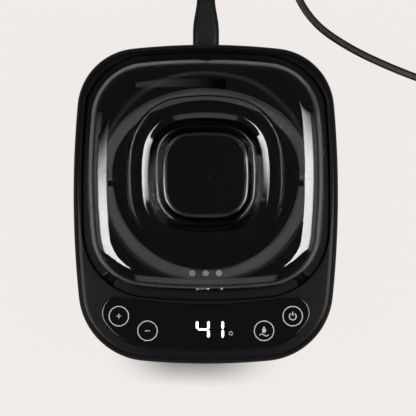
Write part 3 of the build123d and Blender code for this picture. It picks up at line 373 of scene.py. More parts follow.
def smoked(name, code):
    """Smoked clear plastic: what lies below shows dim, the surface mirrors the lamps sharply."""
    material = bpy.data.materials.new(name)
    material.use_nodes = True
    tree = material.node_tree
    tree.nodes.clear()
    place = add_node(tree, "ShaderNodeTexCoord")
    haze = add_node(tree, "ShaderNodeTexNoise", values={"Scale": 60.0, "Detail": 3.0},
                    links={"Vector": place.outputs["Object"]})
    rough = add_node(tree, "ShaderNodeMapRange", values={"To Min": 0.0, "To Max": 0.03},
                     links={"Value": haze.outputs["Fac"]})
    shader = add_node(tree, "ShaderNodeBsdfPrincipled",
                      values={"Base Color": linear(code), "IOR": 1.49, "Transmission Weight": 1.0},
                      links={"Roughness": rough.outputs["Result"]})
    add_node(tree, "ShaderNodeOutputMaterial", links={"Surface": shader.outputs["BSDF"]})
    return material


def glowing(name, code, strength):
    """White segments that shine through the overlay, a little brighter in their middle."""
    material = bpy.data.materials.new(name)
    material.use_nodes = True
    tree = material.node_tree
    tree.nodes.clear()
    place = add_node(tree, "ShaderNodeTexCoord")
    cloud = add_node(tree, "ShaderNodeTexNoise", values={"Scale": 700.0, "Detail": 1.0},
                     links={"Vector": place.outputs["Object"]})
    power = add_node(tree, "ShaderNodeMapRange",
                     values={"To Min": strength * 0.9, "To Max": strength * 1.1},
                     links={"Value": cloud.outputs["Fac"]})
    shader = add_node(tree, "ShaderNodeBsdfPrincipled",
                      values={"Base Color": linear(code), "Emission Color": linear(code),
                              "Roughness": 0.4},
                      links={"Emission Strength": power.outputs["Result"]})
    add_node(tree, "ShaderNodeOutputMaterial", links={"Surface": shader.outputs["BSDF"]})
    return material


def make_finishes(colours):
    """One material for each slot of the record."""
    metal = {"Metallic": 1.0}
    return {
        # Moulded ABS with a fine grain: nearly black, shows the lamps only as a dull sheen
        "shell_black": finish("Moulded black ABS", colours.shell, 0.36, 0.04, grain=30, bump=0.004,
                              bump_grain=0.5, **{"Specular IOR Level": 0.09}),
        # Satin ABS: as black as the shell, a little smoother, so that its rounded edges catch light
        "deck_black": finish("Satin black ABS", colours.deck, 0.24, 0.03, grain=40,
                             **{"Specular IOR Level": 0.05}),
        # Hard coated acrylic: deeper black and sharper mirror than the deck round it
        "panel_gloss": finish("Hard coated acrylic overlay", colours.overlay, 0.03, 0.01, grain=50),
        # Spark-eroded ABS: fine even grain, no mirror image
        "base_black": finish("Textured black ABS", colours.base, 0.55, 0.08, bump=0.03),
        # Moulded rubber: dull dark grey
        "foot_rubber": finish("Foot rubber", colours.rubber, 0.8, 0.05, bump=0.02),
        # Moulded acrylic, tinted: lets about a quarter of the light through each wall
        "lid_smoke": smoked("Smoked acrylic", colours.smoke),
        # Hard anodised aluminium: dark, dull metal with a warm cast
        "pot_aluminium": finish("Hard anodised aluminium", colours.pot, 0.42, 0.05, grain=12,
                                **metal),
        # Glass-filled nylon: pale grey and satin, with a faint grain
        "handle_grey": finish("Grey glass-filled nylon", colours.handle, 0.42, 0.05, bump=0.01),
        # Steels: bright zinc on the screws, blackened where the pot's handles turn, rolled sheet
        "screw_steel": finish("Zinc plated screws", colours.steel, 0.32, 0.06, **metal),
        "bracket_steel": finish("Blackened bracket", colours.blackened, 0.6, 0.06, **metal),
        "pin_steel": finish("Blackened pin", colours.blackened, 0.5, 0.05, **metal),
        "shield_steel": finish("Rolled steel shield", colours.steel, 0.35, 0.08, grain=15, **metal),
        "clamp_steel": finish("Spring steel clamp", colours.steel, 0.3, 0.06, **metal),
        # Moulded silicone: soft mid grey
        "seal_silicone": finish("Silicone seal", colours.silicone, 0.5, 0.05),
        # Drawn aluminium: bright, with soft streaked reflections
        "well_aluminium": finish("Drawn aluminium", colours.aluminium, 0.34, 0.08, grain=8,
                                 **metal),
        # Pressed mica: brown and blotchy
        "band_mica": finish("Mica paper", colours.mica, 0.5, 0.1, shade=0.3, grain=3),
        # Turned and stamped brass: yellow metal, a little worn
        "sensor_brass": finish("Sensor brass", colours.brass, 0.3, 0.06, **metal),
        "pin_brass": finish("Inlet pin brass", colours.brass, 0.24, 0.05, **metal),
        "blade_brass": finish("Plug blade brass", colours.brass, 0.22, 0.05, **metal),
        "fuse_steel": finish("Fuse can", colours.steel, 0.3, 0.06, **metal),
        # Printed boards and what stands on them: plain plastics, tape, foam and glass
        "circuit_board": finish("Solder mask", colours.board, 0.35, 0.06, shade=0.3),
        "display_white": finish("Screen print white", colours.ink, 0.45, 0.05, shade=0.05),
        "pad_foam": finish("Conductive foam", colours.foam, 0.9, 0.05, bump=0.1, bump_grain=0.5),
        "transformer_yellow": finish("Transformer tape", colours.yellow, 0.35, 0.06),
        "relay_blue": finish("Relay case", colours.blue, 0.35, 0.05),
        "capacitor_dark": finish("Capacitor sleeve", colours.base, 0.35, 0.05),
        "fuse_glass": finish("Fuse body", colours.white, 0.2, 0.05),
        "terminal_green": finish("Terminal block nylon", colours.green, 0.45, 0.05),
        # Extruded PVC of wires and ribbon: satin
        "wire_brown": finish("Brown wire", colours.brown, 0.45, 0.05),
        "wire_white": finish("White wire", colours.white, 0.45, 0.05),
        "ribbon_grey": finish("Ribbon cable", colours.grey, 0.5, 0.05),
        # Moulded nylon of the inlet: fine grain
        "inlet_black": finish("Inlet nylon", colours.base, 0.4, 0.05, bump=0.01),
        # Soft PVC of the lead: semi-matt with a fine grain
        "lead_black": finish("Moulded PVC", colours.cord, 0.45, 0.06, bump=0.02, bump_grain=0.8,
                             **{"Specular IOR Level": 0.12}),
        "cord_black": finish("Cord PVC", colours.cord, 0.42, 0.06, bump=0.004, bump_grain=2.0,
                             **{"Specular IOR Level": 0.2}),
    }


# Filled by the first operator: the material of each slot, and the slot of each CAD node
FINISHES = {}
SLOT_OF = {}


# Outlines and profiles


def quarter(half_width, reach, side_bow, end_bow, corner, side_steps, corner_steps):
    """Points from the middle of a side round the corner to the middle of an end."""
    side_x, end_y = half_width - side_bow, reach - end_bow
    between = hypot(side_x, end_y)
    side_reach, end_reach = side_bow - corner, end_bow - corner
    along = (between ** 2 + side_reach ** 2 - end_reach ** 2) / (2 * between)
    off = sqrt(side_reach ** 2 - along ** 2)
    unit_x, unit_y = -side_x / between, end_y / between
    corner_x = side_x + unit_x * along - unit_y * off
    corner_y = unit_y * along + unit_x * off
    first = atan2(corner_y, corner_x - side_x)
    second = atan2(corner_y - end_y, corner_x)
    points = []
    for centre_x, centre_y, radius, start, end, steps in (
            (side_x, 0, side_bow, 0, first, side_steps),
            (corner_x, corner_y, corner, first, second, corner_steps),
            (0, end_y, end_bow, second, pi / 2, side_steps)):
        for step in range(steps):
            turn = start + (end - start) * step / steps
            points.append((centre_x + radius * cos(turn), centre_y + radius * sin(turn)))
    points.append((0, reach))
    return points


def outline(half_width, back, front, middle, bows, corners, inset, side_steps=14, corner_steps=22):
    """A closed outline of eight tangent arcs, drawn in by an inset, counterclockwise."""
    side_bow, back_bow, front_bow = (bow - inset for bow in bows)
    rear = quarter(half_width - inset, back - inset, side_bow, back_bow, corners[0] - inset,
                   side_steps, corner_steps)
    fore = quarter(half_width - inset, front - inset, side_bow, front_bow, corners[1] - inset,
                   side_steps, corner_steps)
    loop = [(x, middle + y) for x, y in rear[:-1]]
    loop += [(-x, middle + y) for x, y in rear[:0:-1]]
    loop += [(-x, middle - y) for x, y in fore[:-1]]
    loop += [(x, middle - y) for x, y in fore[:0:-1]]
    return loop


def circle(radius, middle_x, middle_y, count=144):
    """A round outline."""
    return [(middle_x + radius * cos(2 * pi * index / count),
             middle_y + radius * sin(2 * pi * index / count)) for index in range(count)]


def rounded(corners, steps=6, ease=0.25):
    """A profile whose corners are turned into arcs.

    corners are (across, up, radius). Beside each arc a point is added, so that the shading of the
    flat next to it stays flat.
    """
    points = []
    for index, (across, up, radius) in enumerate(corners):
        if not radius or index in (0, len(corners) - 1):
            points.append((across, up))
            continue
        here = Vector((across, up))
        back = (Vector(corners[index - 1][:2]) - here).normalized()
        on = (Vector(corners[index + 1][:2]) - here).normalized()
        half = acos(max(-1.0, min(1.0, back.dot(on)))) / 2
        tangent = radius / tan(half)
        middle = here + (back + on).normalized() * radius / sin(half)
        start, end = here + back * tangent, here + on * tangent
        points.append(tuple(start + back * ease))
        first, last = start - middle, end - middle
        turn = first.angle_signed(last)
        for step in range(steps + 1):
            part = turn * step / steps
            points.append((middle.x + first.x * cos(part) + first.y * sin(part),
                           middle.y - first.x * sin(part) + first.y * cos(part)))
        points.append(tuple(end + on * ease))
    return points


def raised(loop, height):
    """A flat outline at a height."""
    return [(x, y, height) for x, y in loop]


def skin(loops, first_pole=None, last_pole=None, closed=False):
    """Points and faces of the surface through outlines that have the same number of points."""
    count = len(loops[0])
    points = [point for loop in loops for point in loop]
    pairs = [(index, index + 1) for index in range(len(loops) - 1)]
    if closed:
        pairs.append((len(loops) - 1, 0))
    faces = []
    for low, high in pairs:
        for index in range(count):
            after = (index + 1) % count
            faces.append((low * count + index, low * count + after,
                          high * count + after, high * count + index))
    for pole, loop in ((first_pole, 0), (last_pole, len(loops) - 1)):
        if pole:
            points.append(pole)
            for index in range(count):
                faces.append((loop * count + index, loop * count + (index + 1) % count,
                              len(points) - 1))
    return points, faces


def flat_fill(loops):
    """Triangles between a flat outline and the outlines inside it, as points and faces."""
    points = [point for loop in loops for point in loop]
    return points, [tuple(face) for face in tessellate_polygon([[Vector(point) for point in loop]
                                                                for loop in loops])]


def together(*parts):
    """Several surfaces as one."""
    points, faces = [], []
    for more_points, more_faces in parts:
        faces += [tuple(index + len(points) for index in face) for face in more_faces]
        points += more_points
    return points, faces


def smooth(mesh, angle):
    """Merge doubles, turn faces outwards and shade smooth up to an angle in degrees."""
    work = bmesh.new()
    work.from_mesh(mesh)
    bmesh.ops.remove_doubles(work, verts=work.verts, dist=0.002 * MM)
    bmesh.ops.dissolve_degenerate(work, edges=work.edges, dist=0.0005 * MM)
    bmesh.ops.recalc_face_normals(work, faces=work.faces)
    work.to_mesh(mesh)
    work.free()
    mesh.shade_smooth()
    mesh.set_sharp_from_angle(angle=radians(angle))
    mesh.update()


def new_object(name, surface, angle=32.0):
    """A mesh object of a surface given in millimetres."""
    points, faces = surface
    mesh = bpy.data.meshes.new(name)
    mesh.from_pydata([Vector(point) * MM for point in points], [], faces)
    smooth(mesh, angle)
    piece = bpy.data.objects.new(name, mesh)
    bpy.context.scene.collection.objects.link(piece)
    return piece


def settle(piece, slot, body, nodes=(), material=None):
    """Give a finished piece the material of its slot and its body, and hide the CAD nodes it stands
    for.
    """
    piece.data.materials.clear()
    piece.data.materials.append(material or FINISHES[slot])
    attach(piece, body)
    if nodes:
        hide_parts(*nodes)
    return piece


def cut(piece, cutters):
    """Cut closed meshes out of a piece and leave a plain mesh."""
    for cutter in cutters:
        change = piece.modifiers.new("Cut", "BOOLEAN")
        change.operation = "DIFFERENCE"
        change.solver = "EXACT"
        change.object = cutter
    bpy.context.view_layer.update()
    view = bpy.context.evaluated_depsgraph_get()
    plain = bpy.data.meshes.new_from_object(piece.evaluated_get(view))
    piece.modifiers.clear()
    old = piece.data
    piece.data = plain
    bpy.data.meshes.remove(old)
    for cutter in cutters:
        bpy.data.objects.remove(cutter)
    smooth(piece.data, 32)


def copied(node, angle=28.0):
    """A smooth copy of a CAD node, in its body and with its slot's material, which stands for it
    while the node is hidden.
    """
    source = frame["nodes"][node]
    mesh = source.data.copy()
    mesh.name = node
    smooth(mesh, angle)
    piece = bpy.data.objects.new(node + "_visible", mesh)
    bpy.context.scene.collection.objects.link(piece)
    return settle(piece, SLOT_OF[node], source["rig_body"], [node])


# Pieces


def lean(sz, height):
    """How far the housing's wall is drawn in at a height."""
    return sz.lean * max(0.0, sz.top - height) / (sz.top - sz.bottom)


def housing_outline(sz, inset):
    """The housing's outline, drawn in from its widest one."""
    return outline(sz.half_width, sz.back, sz.front, sz.middle,
                   (sz.side_bow, sz.end_bow, sz.end_bow), (sz.back_corner, sz.front_corner), inset)


def edge_arc(sz, start, end, steps):
    """The rounded upper edge of the closed housing between two tilts of its face, in degrees."""
    tilt = atan(sz.lean / (sz.top - sz.bottom))
    centre = sz.edge_round / tan((pi / 2 - tilt) / 2)
    low = -degrees(tilt) if start is None else start
    arc = []
    for step in range(steps + 1):
        turn = radians(low + (end - low) * step / steps)
        arc.append((centre - sz.edge_round * cos(turn), sz.top - sz.edge_round * (1 - sin(turn))))
    return arc


def foot_arc(sz, end, steps):
    """The rounded lower edge of the housing, from its wall down to a tilt in degrees."""
    tilt = atan(sz.lean / (sz.top - sz.bottom))
    centre = sz.lean + sz.foot_round / tan((pi / 2 + tilt) / 2)
    low = degrees(tilt)
    arc = []
    for step in range(steps + 1):
        turn = radians(low + (end - low) * step / steps)
        arc.append((centre - sz.foot_round * cos(turn),
                    sz.bottom + sz.foot_round * (1 - sin(turn))))
    return arc


def lid_outline(lid, inset):
    """The lid's outline, drawn in from its rim."""
    return outline(lid.half_width, lid.half_length, lid.half_length, lid.well,
                   (lid.bow,) * 3, (lid.corner,) * 2, inset)


def square_outline(lid, half_width, bow, corner, inset):
    """A rounded square round the lid's middle."""
    return outline(half_width, half_width, half_width, lid.well, (bow,) * 3, (corner,) * 2, inset)


def panel_outline(sz, border, lid, grow):
    """The smile: the housing's outline drawn in, cut off by an arc that follows the lid's seat."""
    centre_y = lid.well - lid.half_length - sz.panel_drop + sz.panel_bow
    line = housing_outline(border, sz.panel_border + sz.panel_end)
    edge = housing_outline(border, sz.panel_border - grow)
    reach = sz.panel_bow + sz.panel_end
    outside = [hypot(x, y - centre_y) > reach and y < 0 for x, y in line]
    count = len(line)
    first = next(index for index in range(count) if outside[index] and not outside[index - 1])
    kept = []
    index = first
    while outside[index % count]:
        kept.append(index % count)
        index += 1

    def crossing(inner, outer):
        """Where the line crosses the arc between two of its points, and the edge beside it."""
        low, high = 0.0, 1.0
        for _ in range(40):
            part = (low + high) / 2
            x = line[inner][0] + (line[outer][0] - line[inner][0]) * part
            y = line[inner][1] + (line[outer][1] - line[inner][1]) * part
            low, high = (part, high) if hypot(x, y - centre_y) > reach else (low, part)
        edge_x = edge[inner][0] + (edge[outer][0] - edge[inner][0]) * part
        edge_y = edge[inner][1] + (edge[outer][1] - edge[inner][1]) * part
        return (x, y), (edge_x, edge_y)

    end_round = sz.panel_end + grow
    left, left_edge = crossing(kept[0], (kept[0] - 1) % count)
    right, right_edge = crossing(kept[-1], (kept[-1] + 1) % count)
    loop = [edge[index] for index in kept]
    start = atan2(right_edge[1] - right[1], right_edge[0] - right[0])
    end = atan2(centre_y - right[1], -right[0])
    for step in range(25):
        turn = start + (end - start) * step / 24
        loop.append((right[0] + end_round * cos(turn), right[1] + end_round * sin(turn)))
    from_turn = atan2(right[1] - centre_y, right[0])
    to_turn = atan2(left[1] - centre_y, left[0])
    for step in range(1, 48):
        turn = from_turn + (to_turn - from_turn) * step / 48
        loop.append(((sz.panel_bow - grow) * cos(turn),
                     centre_y + (sz.panel_bow - grow) * sin(turn)))
    start = atan2(centre_y - left[1], -left[0])
    end = atan2(left_edge[1] - left[1], left_edge[0] - left[0])
    if end < start:
        end += 2 * pi
    for step in range(25):
        turn = start + (end - start) * step / 24
        loop.append((left[0] + end_round * cos(turn), left[1] + end_round * sin(turn)))
    return loop


def box_surface(low, high):
    """A closed box between two corners."""
    (x0, y0, z0), (x1, y1, z1) = low, high
    points = [(x0, y0, z0), (x1, y0, z0), (x1, y1, z0), (x0, y1, z0),
              (x0, y0, z1), (x1, y0, z1), (x1, y1, z1), (x0, y1, z1)]
    faces = [(0, 3, 2, 1), (4, 5, 6, 7), (0, 1, 5, 4), (1, 2, 6, 5), (2, 3, 7, 6), (3, 0, 4, 7)]
    return points, faces


def rounded_rectangle(wide, tall, corner, steps=8):
    """A rectangle with round corners, counterclockwise, round its own middle."""
    loop = []
    for index, (sx, sy) in enumerate(((1, 1), (-1, 1), (-1, -1), (1, -1))):
        for step in range(steps + 1):
            turn = pi / 2 * (index + step / steps)
            loop.append((sx * (wide / 2 - corner) + corner * cos(turn),
                         sy * (tall / 2 - corner) + corner * sin(turn)))
    return loop


def solid_between(low_loop, high_loop):
    """A closed solid between two flat outlines with the same number of points."""
    return together(skin([low_loop, high_loop]), flat_fill([low_loop]), flat_fill([high_loop]))


class WarmerOperator:
    """What the operators have in common."""

    bl_options = {"REGISTER", "UNDO"}


class WARMER_OT_finishes(WarmerOperator, bpy.types.Operator):
    """Make the materials and put them on the CAD nodes"""

    bl_idname = "warmer.finishes"
    bl_label = "Finishes"

    def execute(self, context):
        FINISHES.update(make_finishes(context.scene.warmer_colours))
        for name, node in frame["nodes"].items():
            for slot in node.material_slots:
                SLOT_OF[name] = slot.material.name.split(".")[0]
                slot.material = FINISHES[SLOT_OF[name]]
        return {"FINISHED"}


class WARMER_OT_housing(WarmerOperator, bpy.types.Operator):
    """Build the housing shell, the deck and the seat ring"""

    bl_idname = "warmer.housing"
    bl_label = "Housing"

    def execute(self, context):
        sz = sizes(context.scene.warmer_housing)
        border = sizes(context.scene.warmer_panel)
        lid = sizes(context.scene.warmer_lid)
        inlet = sizes(context.scene.warmer_lead).inlet
        seam = sz.seam_round

        def at(inset, height, radius=0):
            return (inset + lean(sz, height), height, radius)

        outer = foot_arc(sz, degrees(sz.foot_end), 10)[::-1]
        outer += [(lean(sz, height), height) for height in (20.0, 50.0, 80.0)]
        outer += edge_arc(sz, None, degrees(sz.shell_edge_end), 12)
        inner = rounded([at(sz.wall - seam, sz.top - 0.85), at(sz.wall, sz.top - 1.1, 0),
                         at(sz.wall, sz.deck_under), at(sz.wall + sz.ledge, sz.deck_under),
                         at(sz.wall + sz.ledge, sz.deck_under - 2), at(sz.wall, sz.deck_under - 2),
                         at(sz.wall, sz.base_top + 2), at(sz.wall + sz.base_ledge, sz.base_top + 2),
                         at(sz.wall + sz.base_ledge, sz.base_top), at(sz.wall, sz.base_top),
                         at(sz.wall, sz.bottom + 1.2)])
        loops = [raised(housing_outline(sz, inset), height) for inset, height in outer + inner]
        shell = new_object("housing_shell_visible", skin(loops, closed=True))
        hole = rounded_rectangle(sz.opening_wide, sz.opening_tall, sz.opening_corner)
        inside, outside = 88.0, 112.0
        cutter = new_object("inlet_cutter", solid_between(
            *([(x, y, inlet + z) for x, z in hole] for y in (inside, outside))))
        cut(shell, [cutter])
        settle(shell, "shell_black", "housing", ["housing_shell"])

        # Deck: outer rim with its rounded edge, the seat's wall, the panel's recess, the flats
        gap = sz.wall + sz.deck_gap
        plate_under = sz.top - sz.plate
        skirt = gap + sz.rim_skirt
        rim = [(skirt, plate_under), (skirt, sz.deck_under), at(gap, sz.deck_under)[:2],
               at(gap, sz.top - 1.2)[:2], at(gap + 0.1, sz.top - 0.75)[:2]]
        rim += edge_arc(sz, degrees(sz.deck_edge_start), 90.0, 8)
        rim.append((rim[-1][0] + 0.3, sz.top))
        rim_loops = [raised(housing_outline(sz, inset), height) for inset, height in rim]
        seat = rounded([(-seam - 0.6, sz.top, 0), (0, sz.top, seam + 0.3), (0, sz.deck_under, 0),
                        (-sz.seat_skirt, sz.deck_under, 0), (-sz.seat_skirt, plate_under, 0)], 5)
        seat_loops = [raised(lid_outline(lid, inset - lid.seat_border), height)
                      for inset, height in seat]
        recess = rounded([(seam + 0.4, sz.top, 0), (0, sz.top, seam), (0, sz.top - 1.2, 0)], 4)
        recess_loops = [raised(panel_outline(sz, border, lid, sz.panel_gap + inset), height)
                        for inset, height in recess]
        deck = together(skin(rim_loops), skin(seat_loops), skin(recess_loops),
                        flat_fill([rim_loops[-1], seat_loops[0], recess_loops[0]]),
                        flat_fill([recess_loops[-1]]),
                        flat_fill([rim_loops[0], seat_loops[-1]]))
        settle(new_object("top_deck_visible", deck), "deck_black", "housing", ["top_deck"])

        copied("seat_ring")
        copied("base_plate")
        copied("rubber_feet")
        copied("inlet_socket")
        copied("inlet_pins")
        return {"FINISHED"}


class WARMER_OT_panel(WarmerOperator, bpy.types.Operator):
    """Build the control panel with its prints and digits"""

    bl_idname = "warmer.panel"
    bl_label = "Control panel"

    def execute(self, context):
        sz = sizes(context.scene.warmer_housing)
        border = sizes(context.scene.warmer_panel)
        lid = sizes(context.scene.warmer_lid)
        ink = sizes(context.scene.warmer_prints)
        edge = rounded([(0, sz.top - sz.panel_thickness, 0), (0, sz.top, sz.seam_round),
                        (-sz.seam_round - 0.6, sz.top, 0)], 4)
        loops = [raised(panel_outline(sz, border, lid, grow), height) for grow, height in edge]
        overlay = together(skin(loops), flat_fill([loops[0]]), flat_fill([loops[-1]]))
        settle(new_object("control_panel_visible", overlay), "panel_gloss", "housing",
               ["control_panel"])

        rings = new_object("key_rings", ([(sx * x, y, sz.top + ink.ink / 2) for sx in (-1, 1)
                                          for x, y in ((ink.outer_x, ink.outer_y),
                                                       (ink.inner_x, ink.inner_y))], []))
        radius = (ink.key - ink.line) / 2
        repeat(rings, key_ring_tree(), {"Radius": radius * MM, "Line width": ink.line * MM,
                                        "Thickness": ink.ink * MM})
        settle(rings, "display_white", "housing")

        low, high = sz.top, sz.top + ink.ink

        def bar(x0, y0, x1, y1, low=low, high=high):
            return box_surface((x0, y0, low), (x1, y1, high))

        def arc_bar(middle_x, middle_y, inner, outer, start, end, steps=40):
            """A flat arc between two angles in degrees."""
            loops = []
            for step in range(steps + 1):
                turn = radians(start + (end - start) * step / steps)
                loops.append([(middle_x + radius * cos(turn), middle_y + radius * sin(turn), height)
                              for radius, height in ((inner, low), (outer, low), (outer, high),
                                                     (inner, high))])
            points, faces = skin(loops)
            last = len(points) - 4
            return points, faces + [(0, 1, 2, 3), (last, last + 1, last + 2, last + 3)]

        half = ink.line * 0.4
        x, y, arm = -ink.outer_x, ink.outer_y, ink.plus / 2
        plus = [bar(x - arm, y - half, x + arm, y + half),
                bar(x - half, y + half, x + half, y + arm),
                bar(x - half, y - arm, x + half, y - half)]
        x, y, arm = -ink.inner_x, ink.inner_y, ink.minus / 2
        minus = bar(x - arm, y - half, x + arm, y + half)
        x, y, arm = ink.outer_x, ink.outer_y, ink.power_line / 2
        power = [arc_bar(x, y - 0.2, ink.power_radius - ink.power_line, ink.power_radius, 125, 415),
                 bar(x - arm, y + 0.3, x + arm, y + ink.power_rise)]
        # A drop over a wave of heat, for the key that holds the wax molten
        drop = []
        for index in range(40):
            turn = 2 * pi * index / 40
            drop.append((ink.inner_x + ink.drop_wide * sin(turn) * sin(turn / 2) ** 1.4,
                         ink.inner_y + ink.drop_rise + ink.drop_tall * cos(turn)))
        drop_solid = solid_between(raised(drop, low), raised(drop, high))
        waves = [arc_bar(ink.inner_x + side * ink.wave_step, ink.inner_y - below, ink.wave_inner,
                         ink.wave_outer, start, start + 140, 16)
                 for side, below, start in ((-1, 3.6, 20), (1, 1.9, 200))]
        settle(new_object("key_icons", together(*plus, minus, *power, drop_solid, *waves)),
               "display_white", "housing")

        # The number 41 in seven-segment strokes, and a faint ring beside it
        def stroke(x, y, across, along):
            """A segment with pointed ends round a middle."""
            wide, tall = across / 2, along / 2
            if across > along:
                flat = wide - tall
                shape = [(-wide, 0), (-flat, -tall), (flat, -tall), (wide, 0), (flat, tall),
                         (-flat, tall)]
            else:
                flat = tall - wide
                shape = [(0, -tall), (wide, -flat), (wide, flat), (0, tall), (-wide, flat),
                         (-wide, -flat)]
            loop = [(x + dx, y + dy) for dx, dy in shape]
            return solid_between(raised(loop, low), raised(loop, high))

        wide, stroke_wide = ink.digit_width, ink.digit_stroke
        column = ink.digit_height / 2 - 0.35
        left = ink.digits_left + stroke_wide / 2
        right = left + wide - stroke_wide
        upper, lower = ink.digit_y + ink.digit_height / 4, ink.digit_y - ink.digit_height / 4
        digits = [stroke(x, y, stroke_wide, column)
                  for x, y in ((left, upper), (right, upper), (right, lower), (ink.one_x, upper),
                               (ink.one_x, lower))]
        digits.append(stroke((left + right) / 2, ink.digit_y, wide - stroke_wide - 0.7,
                             stroke_wide * 0.8))
        settle(new_object("display_digits", together(*digits)), "display_white", "housing",
               material=glowing("Display glow", context.scene.warmer_colours.white, 0.8))
        faint = arc_bar(ink.mark_x, ink.digit_y - ink.mark_below, ink.mark_radius - ink.mark_line,
                        ink.mark_radius, 0, 360, 32)
        settle(new_object("display_mark", faint), "display_white", "housing",
               material=glowing("Dim display mark", "#5A5A5A", 0.03))
        return {"FINISHED"}


def key_ring_tree():
    """Rings of a rectangular section on the points of a mesh."""
    tree = bpy.data.node_groups.new("Key rings", "GeometryNodeTree")
    tree.interface.new_socket("Geometry", in_out="INPUT", socket_type="NodeSocketGeometry")
    for name, default in (("Radius", 0.006), ("Line width", 0.0008), ("Thickness", 0.00002)):
        socket = tree.interface.new_socket(name, in_out="INPUT", socket_type="NodeSocketFloat")
        socket.default_value = default
    tree.interface.new_socket("Geometry", in_out="OUTPUT", socket_type="NodeSocketGeometry")
    given = add_node(tree, "NodeGroupInput")
    line = add_node(tree, "GeometryNodeCurvePrimitiveCircle", values={"Resolution": 96},
                    links={"Radius": given.outputs["Radius"]})
    section = add_node(tree, "GeometryNodeCurvePrimitiveQuadrilateral",
                       links={"Width": given.outputs["Line width"],
                              "Height": given.outputs["Thickness"]})
    ring = add_node(tree, "GeometryNodeCurveToMesh",
                    links={"Curve": line.outputs["Curve"],
                           "Profile Curve": section.outputs["Curve"]})
    on_points = add_node(tree, "GeometryNodeInstanceOnPoints",
                         links={"Points": given.outputs["Geometry"],
                                "Instance": ring.outputs["Mesh"]})
    real = add_node(tree, "GeometryNodeRealizeInstances",
                    links={"Geometry": on_points.outputs["Instances"]})
    coated = add_node(tree, "GeometryNodeSetMaterial",
                      values={"Material": FINISHES["display_white"]},
                      links={"Geometry": real.outputs["Geometry"]})
    add_node(tree, "NodeGroupOutput", links={"Geometry": coated.outputs["Geometry"]})
    return tree


def repeat(piece, tree, values):
    """Run a geometry tree on a piece and leave a plain mesh."""
    change = piece.modifiers.new("Repeat", "NODES")
    change.node_group = tree
    for item in tree.interface.items_tree:
        if item.item_type == "SOCKET" and item.in_out == "INPUT" and item.name in values:
            change[item.identifier] = values[item.name]
    bpy.context.view_layer.update()
    view = bpy.context.evaluated_depsgraph_get()
    plain = bpy.data.meshes.new_from_object(piece.evaluated_get(view))
    piece.modifiers.clear()
    piece.data = plain
    smooth(plain, 32)


